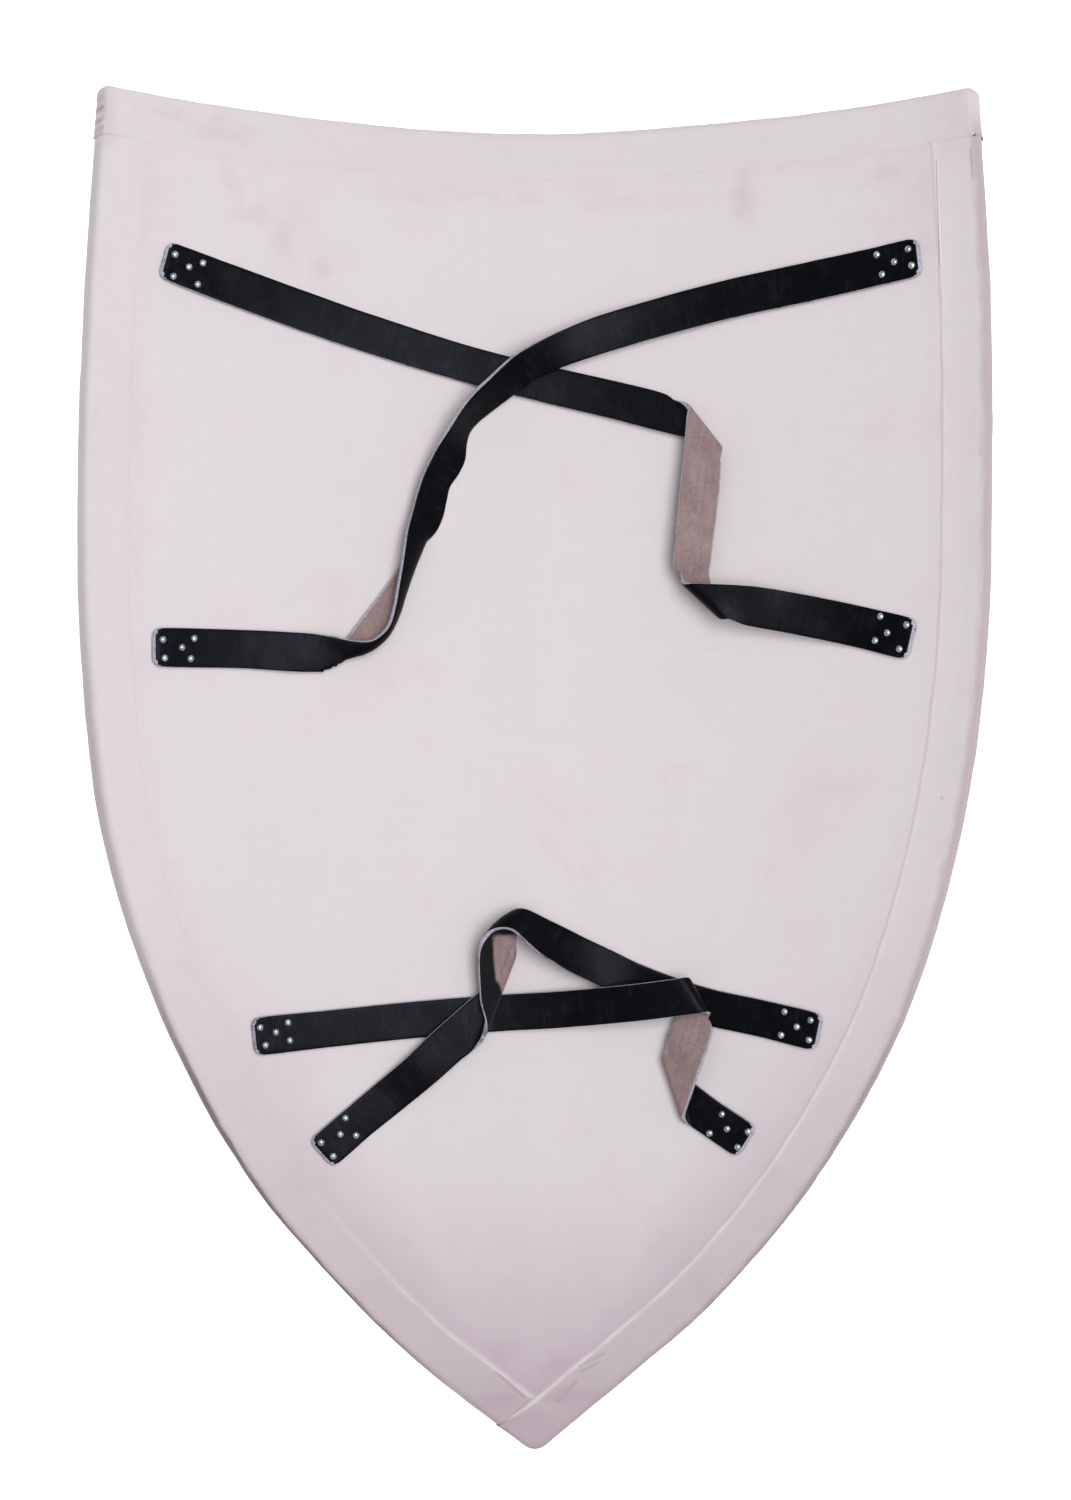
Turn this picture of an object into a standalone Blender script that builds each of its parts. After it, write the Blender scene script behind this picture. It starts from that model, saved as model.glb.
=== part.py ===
"""A heater shield lying on its bowed front, with the hollow back and its straps facing up.

Every piece is drawn flat first, as if the board were unrolled: x across, y towards the top edge, z as height
above the inner face. Then it is bent, in flat facets, about an axis that runs along Y.
Lengths below are in millimetres and angles in degrees. The last step turns them into metres.
"""

import math

import bmesh
import bpy
import numpy as np
from mathutils import Vector

MM = 0.001

# Board
BEND_RADIUS = 400.0
BOARD_THICK = 10.0
FLAT_SPOT = 40.0
FACET = 22.0
FACETS_A_SIDE = 11
TOP_Y = 354.0
TOP_DIP = 2.0
TIP_ROUND = 12.0
# Height on the board, then how far the edge is from the centre line on the left and on the right
EDGE_AT = (
    (354.0, 246.5, 249.5),
    (250.0, 254.0, 256.3),
    (150.0, 258.0, 257.5),
    (50.0, 256.2, 254.3),
    (-50.0, 243.4, 239.0),
    (-150.0, 209.4, 207.5),
    (-240.0, 161.3, 158.4),
    (-310.0, 105.0, 103.5),
    (-360.0, 54.0, 50.0),
    (-402.0, 0.0, 0.0),
)

# Cloth strips over the edge
HEM = 26.0
CLOTH = 0.8
GAP = 0.3

# Straps
STRAP_WIDE = 20.8
STRAP_THICK = 2.8
STRAP_LIFT = 0.5
FLAT = STRAP_LIFT + STRAP_THICK / 2
END_CORNER = 2.0

# Rivets
SHAFT_R = 1.5
HOLE_R = 1.95
HEAD_R = 2.35
HEAD_TALL = 1.5
FRONT_HEAD_R = 3.6
FRONT_HEAD_TALL = 1.0
RIVET_SIDES = 6
RIVET_GAP = 0.35
# Five to each strap end, set by hand, so no two ends have quite the same spacing
RIVETS = {
    "upper_strap_under": (
        ((-207, 270), (-191, 267), (-199, 264), (-208, 258), (-194, 255)),
        ((198, 73), (213, 68), (202, 64), (195, 60), (209, 55)),
    ),
    "upper_strap_over": (
        ((196, 271), (214, 272), (206, 266), (216, 263), (199, 260)),
        ((-214, 60), (-196, 61), (-203, 56), (-213, 50), (-198, 50)),
    ),
    "lower_strap_left": (
        ((-158, -154), (-142, -152), (-149, -157), (-155, -164), (-141, -162)),
        ((107, -205), (100, -216), (110, -213), (122, -214), (116, -223)),
    ),
    "lower_strap_right": (
        ((-109, -207), (-112, -216), (-103, -217), (-123, -220), (-116, -228)),
        ((143, -146), (158, -150), (150, -154), (141, -159), (157, -161)),
    ),
}


def clear_scene():
    for thing in list(bpy.data.objects):
        bpy.data.objects.remove(thing, do_unlink=True)
    for group in list(bpy.data.collections):
        bpy.data.collections.remove(group)


def collection(name):
    made = bpy.data.collections.new(name)
    bpy.context.scene.collection.children.link(made)
    return made


def material(name, colour, metallic, roughness):
    made = bpy.data.materials.new(name)
    made.use_nodes = True
    shader = made.node_tree.nodes["Principled BSDF"]
    shader.inputs["Base Color"].default_value = (*colour, 1.0)
    shader.inputs["Metallic"].default_value = metallic
    shader.inputs["Roughness"].default_value = roughness
    return made


def add_object(name, mesh, stuff, group):
    made = bpy.data.objects.new(name, mesh)
    group.objects.link(made)
    if stuff is None:
        made.hide_render = True
        made.display_type = "WIRE"
    else:
        mesh.materials.append(stuff)
    return made


# The bend


def facet_lines():
    """The places across the unrolled board where one flat facet meets the next."""
    half = [FLAT_SPOT / 2 + FACET * k for k in range(FACETS_A_SIDE + 1)]
    return [-x for x in reversed(half)] + half


def on_arc(x, height):
    """The point above arc length x, at this height over the inner face, as (across, up)."""
    turn = x / BEND_RADIUS
    lowest = (BEND_RADIUS + BOARD_THICK + GAP + CLOTH) * math.cos(FLAT_SPOT / 2 / BEND_RADIUS)
    reach = BEND_RADIUS - height
    return reach * math.sin(turn), lowest - reach * math.cos(turn)


def bent(x, y, height):
    """A point of the unrolled board, bent along the flat facets."""
    lines = facet_lines()
    k = max(0, min(len(lines) - 2, int(np.searchsorted(lines, x)) - 1))
    low = on_arc(lines[k], height)
    high = on_arc(lines[k + 1], height)
    share = (x - lines[k]) / (lines[k + 1] - lines[k])
    across = low[0] + share * (high[0] - low[0])
    up = low[1] + share * (high[1] - low[1])
    return across, y, up


def bend_mesh(mesh):
    """Cuts a flat-drawn mesh along the facet lines, bends it and scales it to metres."""
    work = bmesh.new()
    work.from_mesh(mesh)
    for x in facet_lines():
        everything = work.verts[:] + work.edges[:] + work.faces[:]
        bmesh.ops.bisect_plane(work, geom=everything, dist=0.002, plane_co=(x, 0, 0), plane_no=(1, 0, 0))
    bmesh.ops.triangulate(work, faces=work.faces)
    bmesh.ops.dissolve_degenerate(work, edges=work.edges, dist=0.002)
    for vert in work.verts:
        vert.co = Vector(bent(*vert.co)) * MM
    work.to_mesh(mesh)
    work.free()
    mesh.shade_smooth()
    mesh.set_sharp_from_angle(angle=math.radians(35))


# Flat shapes


def edge_curve(side):
    """Half widths down one side, as a smooth curve through the measured ones."""
    heights = [row[0] for row in EDGE_AT]
    widths = [row[side] for row in EDGE_AT]
    points = []
    for k in range(len(heights) - 1):
        before = max(k - 1, 0)
        after = min(k + 2, len(heights) - 1)
        slope_a = (widths[k + 1] - widths[before]) / (heights[k + 1] - heights[before])
        slope_b = (widths[after] - widths[k]) / (heights[after] - heights[k])
        span = heights[k + 1] - heights[k]
        for t in (0.0, 0.5):
            a = 2 * t**3 - 3 * t**2 + 1
            b = t**3 - 2 * t**2 + t
            c = -2 * t**3 + 3 * t**2
            d = t**3 - t**2
            width = a * widths[k] + b * slope_a * span + c * widths[k + 1] + d * slope_b * span
            points.append((width, heights[k] + t * span))
    return points


def outline(pointed=False):
    """The whole outline, counter-clockwise from the top right corner."""
    left = [(-w, y) for w, y in edge_curve(1)]
    right = [(w, y) for w, y in edge_curve(2)]
    tip_left = Vector(left[-1])
    tip_right = Vector(right[-1])
    tip = Vector((0.0, EDGE_AT[-1][0]))
    cut = TIP_ROUND * 0.75
    nose = []
    for share in (0.0, 0.25, 0.5, 0.75, 1.0):
        a = tip + (tip_left - tip).normalized() * cut * (1 - share)
        b = tip + (tip_right - tip).normalized() * cut * share
        nose.append(tuple(a + (b - a) * share))
    if pointed:
        nose = [tuple(tip)]
    top = []
    for share in (0.75, 0.5, 0.25):
        x = left[0][0] + share * (right[0][0] - left[0][0])
        top.append((x, TOP_Y - TOP_DIP * math.sin(math.pi * share)))
    return top + left + nose + right[::-1]


def inset(points, by):
    """The polygon moved in on every side."""
    count = len(points)
    moved = []
    for k in range(count):
        here = Vector(points[k])
        back = (here - Vector(points[k - 1])).normalized()
        ahead = (Vector(points[(k + 1) % count]) - here).normalized()
        normal = Vector((-back.y, back.x)) + Vector((-ahead.y, ahead.x))
        normal.normalize()
        share = normal.dot(Vector((-back.y, back.x)))
        moved.append(tuple(here + normal * by / max(share, 0.3)))
    return moved


def prism(name, points, low, high, group, stuff=None):
    """A flat polygon made thick."""
    work = bmesh.new()
    bottom = [work.verts.new((x, y, low)) for x, y in points]
    face = work.faces.new(bottom)
    grown = bmesh.ops.extrude_face_region(work, geom=[face])
    for item in grown["geom"]:
        if isinstance(item, bmesh.types.BMVert):
            item.co.z = high
    bmesh.ops.recalc_face_normals(work, faces=work.faces)
    mesh = bpy.data.meshes.new(name)
    work.to_mesh(mesh)
    work.free()
    return add_object(name, mesh, stuff, group)


def pegs(name, places, radius, low, high, group):
    """Upright pegs that cut the rivet holes."""
    work = bmesh.new()
    for x, y in places:
        made = bmesh.ops.create_cone(
            work, cap_ends=True, segments=RIVET_SIDES, radius1=radius, radius2=radius, depth=high - low
        )
        bmesh.ops.translate(work, verts=made["verts"], vec=(x, y, (low + high) / 2))
    mesh = bpy.data.meshes.new(name)
    work.to_mesh(mesh)
    work.free()
    return add_object(name, mesh, None, group)


def boolean(target, tool, operation):
    """Applies one Boolean and leaves the result as the target's own mesh."""
    step = target.modifiers.new("Join", "BOOLEAN")
    step.operation = operation
    step.solver = "EXACT"
    step.object = tool
    bpy.context.view_layer.update()
    graph = bpy.context.evaluated_depsgraph_get()
    made = bpy.data.meshes.new_from_object(target.evaluated_get(graph))
    target.modifiers.clear()
    old = target.data
    made.name = old.name
    target.data = made
    bpy.data.meshes.remove(old)


def drop(thing):
    bpy.data.objects.remove(thing, do_unlink=True)


# Straps


def direction(heading):
    return Vector((math.cos(math.radians(heading)), math.sin(math.radians(heading))))


def square(x, y, heading, height, tilt=0.0, wide=STRAP_WIDE, flipped=False):
    """A line square across the strap, from its left edge to its right edge. Tilt raises the left edge."""
    ahead = direction(heading)
    left = Vector((-ahead.y, ahead.x)) * (-1 if flipped else 1)
    half = wide / 2
    flat = half * math.cos(math.radians(tilt))
    rise = half * math.sin(math.radians(tilt))
    middle = Vector((x, y))
    a = middle + left * flat
    b = middle - left * flat
    return [(a.x, a.y, height + rise), (b.x, b.y, height - rise)]


def roll(left, right, radius, over, heading, steps=4):
    """The lines around a fold whose outermost line runs from left to right.

    over is 1 where the strap folds on top of itself and -1 where it folds underneath.
    heading is the way the strap runs into the fold, and so the way its edges slide along the fold.
    """
    a = Vector(left)
    b = Vector(right)
    along = Vector((b.x - a.x, b.y - a.y)).normalized()
    inward = Vector((-along.y, along.x))
    if inward.dot(direction(heading)) > 0:
        inward = -inward
    slide = -along.dot(direction(heading)) / inward.dot(direction(heading))
    lines = []
    for k in range(steps + 1):
        turn = math.pi * k / steps
        back = radius * (1 - math.sin(turn))
        up = over * radius * (1 - math.cos(turn))
        shift = inward * back + along * slide * radius * (turn - math.pi / 2)
        lines.append([(p.x + shift.x, p.y + shift.y, p.z + up) for p in (a, b)])
    return lines


# The points across the one strap that curls
ACROSS = 4


def spread(line):
    """A straight line across the strap, with points between its ends."""
    a = Vector(line[0])
    b = Vector(line[1])
    return [tuple(a + (b - a) * k / (ACROSS - 1)) for k in range(ACROSS)]


def curled(high, nose, low):
    """A line across a strap that is rolled into a trough, bulging most at nose, from low to high."""
    a = Vector(low)
    b = Vector(high)
    pull = Vector(nose) * 2 - (a + b) / 2
    points = []
    for k in range(ACROSS):
        t = k / (ACROSS - 1)
        points.append(tuple(a * (1 - t) ** 2 + pull * 2 * t * (1 - t) + b * t * t))
    return points


def end_lines(x, y, heading, height, wide=STRAP_WIDE):
    """The two lines that make a strap's end with its corners taken off, outermost first.

    heading points out of the strap's end.
    """
    back = Vector((x, y)) - direction(heading) * END_CORNER
    tip = square(x, y, heading, height, wide=wide - 2 * END_CORNER)
    full = square(back.x, back.y, heading, height, wide=wide)
    return [tip, full]


def ribbon(name, lines, stuff, group):
    """A strap: a surface through lines across it, made thick to both sides of that surface."""
    work = bmesh.new()
    rows = [[work.verts.new(point) for point in line] for line in lines]
    for row, ahead in zip(rows, rows[1:]):
        for k in range(len(row) - 1):
            work.faces.new((row[k], row[k + 1], ahead[k + 1], ahead[k]))
    bmesh.ops.triangulate(work, faces=work.faces)
    mesh = bpy.data.meshes.new(name)
    work.to_mesh(mesh)
    work.free()
    strap = add_object(name, mesh, stuff, group)
    skin = strap.modifiers.new("Leather", "SOLIDIFY")
    skin.thickness = STRAP_THICK
    skin.offset = 0.0
    return strap


# The upper strap that passes under the other one, from the upper left to the lower right
UNDER_START = (-213.5, 267.0, -15.4)
UNDER_END = (214.5, 62.3, -15.0)


def upper_strap_under(stuff, group):
    x, y, heading = UNDER_START
    lines = [l for l in end_lines(x, y, heading + 180, FLAT)]
    lines = [[right, left] for left, right in lines]
    lines.append(square(-160, 252.3, heading, FLAT))
    lines.append(square(-30, 216.5, heading, FLAT + 0.3))
    lines.append(square(50, 194.6, heading, FLAT + 1.2))
    lines += roll((89.9, 194.3, 3.6), (107.4, 168.7, 3.6), 3.4, 1, -17)
    lines.append(square(96.8, 157.5, -98, 10.6, flipped=True))
    lines.append(square(92.2, 132.0, -95, 11.4, tilt=8, flipped=True))
    lines.append(square(91.2, 113.0, -89, 11.6, tilt=8, flipped=True))
    lines += roll((86.0, 94.2, 12.0), (107.2, 75.0, 10.0), 3.6, 1, -88)
    lines.append(square(124.0, 81.6, -7, 14.0, tilt=6))
    lines.append(square(150.0, 77.6, -11, 8.0))
    lines.append(square(176.0, 72.1, -13.5, 3.4))
    x, y, heading = UNDER_END
    lines.append(square(190.0, 68.8, heading, FLAT))
    lines += reversed(end_lines(x, y, heading, FLAT))
    return ribbon("upper_strap_under", lines, stuff, group)


# The upper strap that passes over the other one, from the upper right to the lower left
OVER_START = (220.5, 267.5, 186.5)
OVER_END = (-219.5, 55.8, 180.0)


def upper_strap_over(stuff, group):
    x, y, heading = OVER_START
    lines = [[right, left] for left, right in end_lines(x, y, heading + 180, FLAT)]
    lines.append(square(192.0, 264.2, heading, FLAT))
    lines.append(square(160.0, 260.0, 187.5, FLAT + 0.4))
    lines.append(square(117.0, 254.0, 190.0, FLAT + 1.3))
    lines.append(square(75.0, 245.2, 194.5, FLAT + 3.0))
    lines.append(square(31.0, 233.4, 206.0, FLAT + 6.4, tilt=-12))
    lines = [spread(line) for line in lines]
    banked = (
        ((0.5, 212.0, 6.4), (-10.0, 225.0, 18.0)),
        ((-9.0, 204.8, 5.6), (-19.0, 217.2, 18.8)),
        ((-17.5, 198.8, 4.6), (-27.0, 209.2, 19.2)),
        ((-26.0, 192.6, 3.4), (-35.0, 202.0, 18.8)),
        ((-33.5, 186.6, 2.8), (-43.0, 193.0, 18.4)),
        ((-38.6, 180.0, 2.6), (-50.0, 182.6, 17.6)),
        ((-40.2, 172.6, 2.8), (-54.0, 176.4, 16.0)),
        ((-40.8, 165.0, 2.8), (-58.0, 170.2, 14.0)),
        ((-44.4, 157.0, 2.6), (-62.0, 162.6, 12.0)),
        ((-49.4, 149.6, 2.6), (-66.0, 154.0, 11.6)),
        ((-51.2, 142.0, 2.8), (-69.4, 143.6, 11.0)),
        ((-53.6, 131.8, 2.8), (-72.2, 133.2, 11.0)),
        ((-58.0, 123.4, 3.0), (-75.0, 124.0, 12.6)),
    )
    lines += [spread(line) for line in banked]
    # The upper edge, the outside of the trough, the lower edge
    folded = (
        ((-76.6, 115.0, 13.6), (-66.6, 114.4, 6.8), (-66.0, 117.6, 2.4)),
        ((-78.4, 104.0, 14.4), (-70.4, 103.0, 6.6), (-75.0, 109.0, 2.2)),
        ((-80.8, 92.0, 14.0), (-75.4, 90.6, 6.2), (-84.0, 98.0, 2.0)),
        ((-84.0, 80.0, 13.0), (-80.6, 78.4, 5.8), (-92.0, 87.0, 2.0)),
        ((-88.4, 70.0, 12.2), (-87.6, 67.0, 5.4), (-99.4, 77.6, 2.0)),
        ((-95.6, 64.0, 11.2), (-98.0, 60.0, 5.2), (-106.6, 67.0, 2.2)),
        ((-104.6, 62.6, 9.8), (-107.8, 57.0, 5.2), (-113.6, 56.6, 2.6)),
    )
    lines += [curled(*line) for line in folded]
    lines.append(spread(((-121.0, 48.6, 2.8), (-115.6, 64.0, 7.8))))
    lines.append(spread(((-129.0, 45.0, 3.0), (-127.6, 65.3, 5.2))))
    tail = [square(-142.0, 55.6, 180.0, FLAT + 1.4), square(-168.0, 56.0, 180.0, FLAT)]
    x, y, heading = OVER_END
    tail += reversed(end_lines(x, y, heading, FLAT))
    lines += [spread(line) for line in tail]
    return ribbon("upper_strap_over", lines, stuff, group)


# The lower strap that starts at the left
LEFT_START = (-162.0, -159.4, 6.0)
LEFT_END = (121.6, -220.4, -31.5)


def lower_strap_left(stuff, group):
    x, y, heading = LEFT_START
    lines = [[right, left] for left, right in end_lines(x, y, heading + 180, FLAT)]
    lines.append(square(-120.0, -156.6, 4.2, FLAT))
    lines.append(square(-60.0, -152.3, 4.2, FLAT))
    lines.append(square(-12.0, -149.2, 3.8, FLAT + 1.0))
    lines.append(square(14.0, -147.4, 5.0, FLAT + 3.6))
    lines.append(square(38.0, -144.8, 7.0, FLAT + 7.4))
    lines.append(square(62.0, -141.8, 7.5, FLAT + 10.2))
    lines += roll((88.2, -128.4, 12.8), (100.4, -147.6, 12.8), 3.5, -1, 7)
    lines.append(((80.6, -150.0, 5.8), (101.6, -157.0, 7.2)))
    lines.append(((77.0, -158.0, 6.4), (98.0, -171.0, 8.6)))
    lines.append(((75.4, -163.6, 6.8), (93.4, -184.0, 9.4)))
    lines += roll((74.0, -175.0, 7.2), (85.6, -209.4, 7.2), 2.6, -1, -112)
    x, y, heading = LEFT_END
    lines.append(square(98.2, -206.0, heading, FLAT))
    lines += reversed(end_lines(x, y, heading, FLAT))
    return ribbon("lower_strap_left", lines, stuff, group)


# The lower strap that ends at the right
RIGHT_START = (-123.2, -227.2, 41.0)
RIGHT_END = (163.0, -156.8, -11.5)


def lower_strap_right(stuff, group):
    x, y, heading = RIGHT_START
    lines = [[right, left] for left, right in end_lines(x, y, heading + 180, FLAT)]
    lines.append(square(-100.0, -207.2, 41.0, FLAT))
    lines.append(square(-84.0, -193.4, 41.0, FLAT + 0.6))
    lines.append(square(-66.0, -177.9, 41.0, 6.0))
    lines.append(square(-50.0, -164.2, 41.0, 6.4))
    lines += roll((-12.6, -117.4, 5.0), (-29.0, -159.4, 6.6), 3.0, 1, 44)
    lines.append(((-11.2, -103.4, 10.4), (-31.6, -138.0, 14.4)))
    lines.append(((-9.8, -99.4, 9.4), (-32.4, -122.0, 14.6)))
    lines += roll((-7.0, -90.4, 8.0), (-28.0, -102.4, 13.0), 3.4, 1, 98)
    lines.append(((0.6, -92.6, 14.2), (-15.4, -103.0, 20.2)))
    lines.append(((8.0, -96.2, 12.6), (-3.6, -109.6, 18.4)))
    lines.append(((25.0, -104.4, 8.0), (14.6, -120.6, 12.6)))
    lines.append(((43.0, -113.2, 4.2), (33.0, -131.4, 5.4)))
    lines.append(((60.0, -121.4, FLAT + 0.2), (51.2, -140.4, FLAT + 0.2)))
    lines.append(square(76.0, -138.2, -21.0, FLAT))
    lines.append(square(98.0, -144.6, -13.0, FLAT))
    lines.append(square(130.0, -150.4, -9.5, FLAT))
    x, y, heading = RIGHT_END
    lines += reversed(end_lines(x, y, heading, FLAT))
    return ribbon("lower_strap_right", lines, stuff, group)


def rivet_mesh():
    """Half the section of a rivet. The Screw modifier on each rivet turns it around."""
    top = 2 * FLAT - STRAP_LIFT + RIVET_GAP
    front = -BOARD_THICK - RIVET_GAP
    section = (
        (0.0, top + HEAD_TALL),
        (HEAD_R * 0.68, top + HEAD_TALL * 0.72),
        (HEAD_R, top),
        (SHAFT_R, top),
        (SHAFT_R, front),
        (FRONT_HEAD_R, front),
        (0.0, front - FRONT_HEAD_TALL),
    )
    mesh = bpy.data.meshes.new("rivet_section")
    points = [(x * MM, 0.0, z * MM) for x, z in section]
    mesh.from_pydata(points, [(k, k + 1) for k in range(len(points) - 1)], [])
    return mesh


def add_rivet(name, mesh, place, group):
    x, y = place
    base = bent(x, y, 0.0)
    made = bpy.data.objects.new(name, mesh)
    group.objects.link(made)
    made.location = Vector(base) * MM
    made.rotation_euler = (0.0, -x / BEND_RADIUS, 0.0)
    turn = made.modifiers.new("Turned", "SCREW")
    turn.steps = RIVET_SIDES
    turn.render_steps = RIVET_SIDES
    turn.use_merge_vertices = True
    turn.merge_threshold = 0.00001
    turn.use_smooth_shade = True
    return made


def centre_everything(group):
    """Moves the whole shield so that its box is centred over the origin."""
    low = Vector((1e9, 1e9, 1e9))
    high = -low
    bpy.context.view_layer.update()
    for thing in group.objects:
        if thing.name.startswith("rivet"):
            continue
        for vert in thing.data.vertices:
            for axis in range(3):
                low[axis] = min(low[axis], vert.co[axis])
                high[axis] = max(high[axis], vert.co[axis])
    shift = Vector((-(low.x + high.x) / 2, -(low.y + high.y) / 2, -low.z))
    for thing in group.objects:
        if thing.name.startswith("rivet"):
            thing.location += shift
        else:
            for vert in thing.data.vertices:
                vert.co += shift


def build():
    clear_scene()
    shield = collection("heater_shield")
    cutters = collection("cutters")
    linen = material("primed_linen", (0.70, 0.67, 0.68), 0.0, 0.75)
    cloth = material("edge_cloth", (0.62, 0.57, 0.60), 0.0, 0.8)
    leather = material("black_leather", (0.012, 0.012, 0.014), 0.0, 0.45)
    steel = material("bright_steel", (0.62, 0.66, 0.70), 1.0, 0.3)

    whole = outline()
    board = prism("board", inset(whole, GAP + CLOTH), -BOARD_THICK, 0.0, shield, linen)

    ring = prism("ring", whole, -BOARD_THICK - GAP - CLOTH, GAP + CLOTH, cutters)
    room = prism("room", inset(whole, CLOTH), -BOARD_THICK - GAP, GAP, cutters)
    inner = inset(outline(pointed=True), HEM)
    window = prism("window", inner, -3 * BOARD_THICK, 2 * BOARD_THICK, cutters)
    boolean(ring, room, "DIFFERENCE")
    boolean(ring, window, "DIFFERENCE")
    hem_y = TOP_Y - TOP_DIP - HEM - GAP
    tip_x, tip_y = min(inner, key=lambda point: point[1])
    slope = 0.76
    far = 420.0
    regions = {
        "edge_strip_top": ((-far, hem_y), (far, hem_y), (far, far), (-far, far)),
        "edge_strip_right": (
            (tip_x, hem_y - GAP),
            (tip_x, tip_y),
            (tip_x - far, tip_y - far * slope),
            (-far, -2 * far),
            (far, -2 * far),
            (far, hem_y - GAP),
        ),
        "edge_strip_left": (
            (tip_x, hem_y - GAP),
            (tip_x - far, hem_y - GAP),
            (tip_x - far, tip_y + 0.4 - far * slope),
            (tip_x, tip_y + 0.4),
        ),
    }
    for name, corners in regions.items():
        strip = add_object(name, ring.data.copy(), cloth, shield)
        strip.data.name = name
        region = prism("region", corners, -50.0, 50.0, cutters)
        boolean(strip, region, "INTERSECT")
        drop(region)
        bend_mesh(strip.data)
    for helper in (ring, room, window):
        drop(helper)

    straps = {
        "upper_strap_under": upper_strap_under(leather, shield),
        "upper_strap_over": upper_strap_over(leather, shield),
        "lower_strap_left": lower_strap_left(leather, shield),
        "lower_strap_right": lower_strap_right(leather, shield),
    }
    places = []
    for name, ends in RIVETS.items():
        here = ends[0] + ends[1]
        places += here
        cutter = pegs("pegs", here, HOLE_R, -1.0, 2 * FLAT + 2.0, cutters)
        boolean(straps[name], cutter, "DIFFERENCE")
        drop(cutter)
        bend_mesh(straps[name].data)

    cutter = pegs("pegs", places, HOLE_R, -BOARD_THICK - 5.0, 5.0, cutters)
    boolean(board, cutter, "DIFFERENCE")
    drop(cutter)
    bend_mesh(board.data)

    section = rivet_mesh()
    section.materials.append(steel)
    for k, place in enumerate(places):
        end, number = divmod(k, 5)
        add_rivet(f"rivet_{end + 1}_{number + 1}", section, place, shield)
    centre_everything(shield)


build()
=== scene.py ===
"""A heater shield lying on its bowed front, with the hollow back and its straps facing up.

Every piece is drawn on the unrolled board, in millimetres: x across, y towards the top edge, and height above the
inner face. It is then bent round an axis that runs along Y and scaled to metres.
"""

import math

import bpy
import numpy as np
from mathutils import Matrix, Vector, noise


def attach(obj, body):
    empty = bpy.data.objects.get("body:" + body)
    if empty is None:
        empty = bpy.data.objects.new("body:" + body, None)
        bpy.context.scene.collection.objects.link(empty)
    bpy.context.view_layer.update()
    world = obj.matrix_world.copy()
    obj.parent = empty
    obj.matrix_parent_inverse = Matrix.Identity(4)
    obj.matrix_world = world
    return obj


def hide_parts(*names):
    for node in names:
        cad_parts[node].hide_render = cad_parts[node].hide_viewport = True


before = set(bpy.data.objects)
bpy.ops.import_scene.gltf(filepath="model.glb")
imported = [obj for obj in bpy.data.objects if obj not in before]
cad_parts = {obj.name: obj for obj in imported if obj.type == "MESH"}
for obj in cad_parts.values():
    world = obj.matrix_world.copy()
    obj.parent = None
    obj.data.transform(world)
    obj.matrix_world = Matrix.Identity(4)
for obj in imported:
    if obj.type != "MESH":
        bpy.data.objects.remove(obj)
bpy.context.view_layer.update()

# ---------------------------------------------------------------------------------------------------------------
# Camera, floor and light. The camera looks straight down into the hollow. The floor is a pale table, and the
# light is one long soft panel overhead, a little to the right, with an even white surround.

def link(name, data):
    made = bpy.data.objects.new(name, data)
    bpy.context.scene.collection.objects.link(made)
    return made


camera_data = bpy.data.cameras.new("camera")
camera_data.lens = 50.44
camera_data.sensor_width = 36.0
camera_data.dof.use_dof = False
camera = link("camera", camera_data)
camera.location = (0.00026, 0.0226, 1.2106)
bpy.context.scene.camera = camera
bpy.context.scene.view_settings.view_transform = "Standard"

# Half the floor's width and its depth under the shield, in metres
FLOOR_HALF = 6.0
FLOOR_DROP = 0.0006
FLOOR_CORNERS = [(x * FLOOR_HALF, y * FLOOR_HALF, -FLOOR_DROP) for x, y in ((-1, -1), (1, -1), (1, 1), (-1, 1))]
FLOOR_LOOK = {
    "Base Color": (0.9, 0.9, 0.9, 1.0),
    "Roughness": 0.9,
    "Specular IOR Level": 0.1,
    "Emission Color": (1.0, 1.0, 1.0, 1.0),
    "Emission Strength": 0.8,
}
floor_mesh = bpy.data.meshes.new("floor")
floor_mesh.from_pydata(FLOOR_CORNERS, [], [(0, 1, 2, 3)])
floor = link("floor", floor_mesh)
paint = bpy.data.materials.new("pale_floor")
paint.use_nodes = True
for label, value in FLOOR_LOOK.items():
    paint.node_tree.nodes["Principled BSDF"].inputs[label].default_value = value
floor_mesh.materials.append(paint)

LIGHT_FROM = Vector((0.40, 0.15, 1.5))
LIGHT_TO = Vector((-0.02, 0.08, 0.0))
light_data = bpy.data.lights.new("key", "AREA")
light_data.shape = "RECTANGLE"
light_data.size = 0.7
light_data.size_y = 1.3
light_data.energy = 18.5
light_data.color = (1.0, 0.985, 0.98)
light = link("key", light_data)
light.location = LIGHT_FROM
light.rotation_euler = (LIGHT_TO - LIGHT_FROM).to_track_quat("-Z", "X").to_euler()

world = bpy.data.worlds.new("studio")
world.use_nodes = True
world.node_tree.nodes["Background"].inputs["Color"].default_value = (0.98, 0.98, 1.0, 1.0)
world.node_tree.nodes["Background"].inputs["Strength"].default_value = 0.36
bpy.context.scene.world = world

# ---------------------------------------------------------------------------------------------------------------
# The board: planks bent round a former and faced on both sides with linen that is glued down and primed with
# chalk and glue. The weave still shows through the primer, and years of handling have left faint stains.

MM = 0.001
# The radius of the inner face, the height of the bow's axis, and the shift that centres the shield over its solids
BEND_RADIUS = 400.0
AXIS_UP = 410.586
SHIFT_X = 0.26
SHIFT_Y = 22.6
# How much the bow is eased where it rests, and over what half width
BED_LIFT = 0.56
BED_WIDE = 17.0


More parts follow.
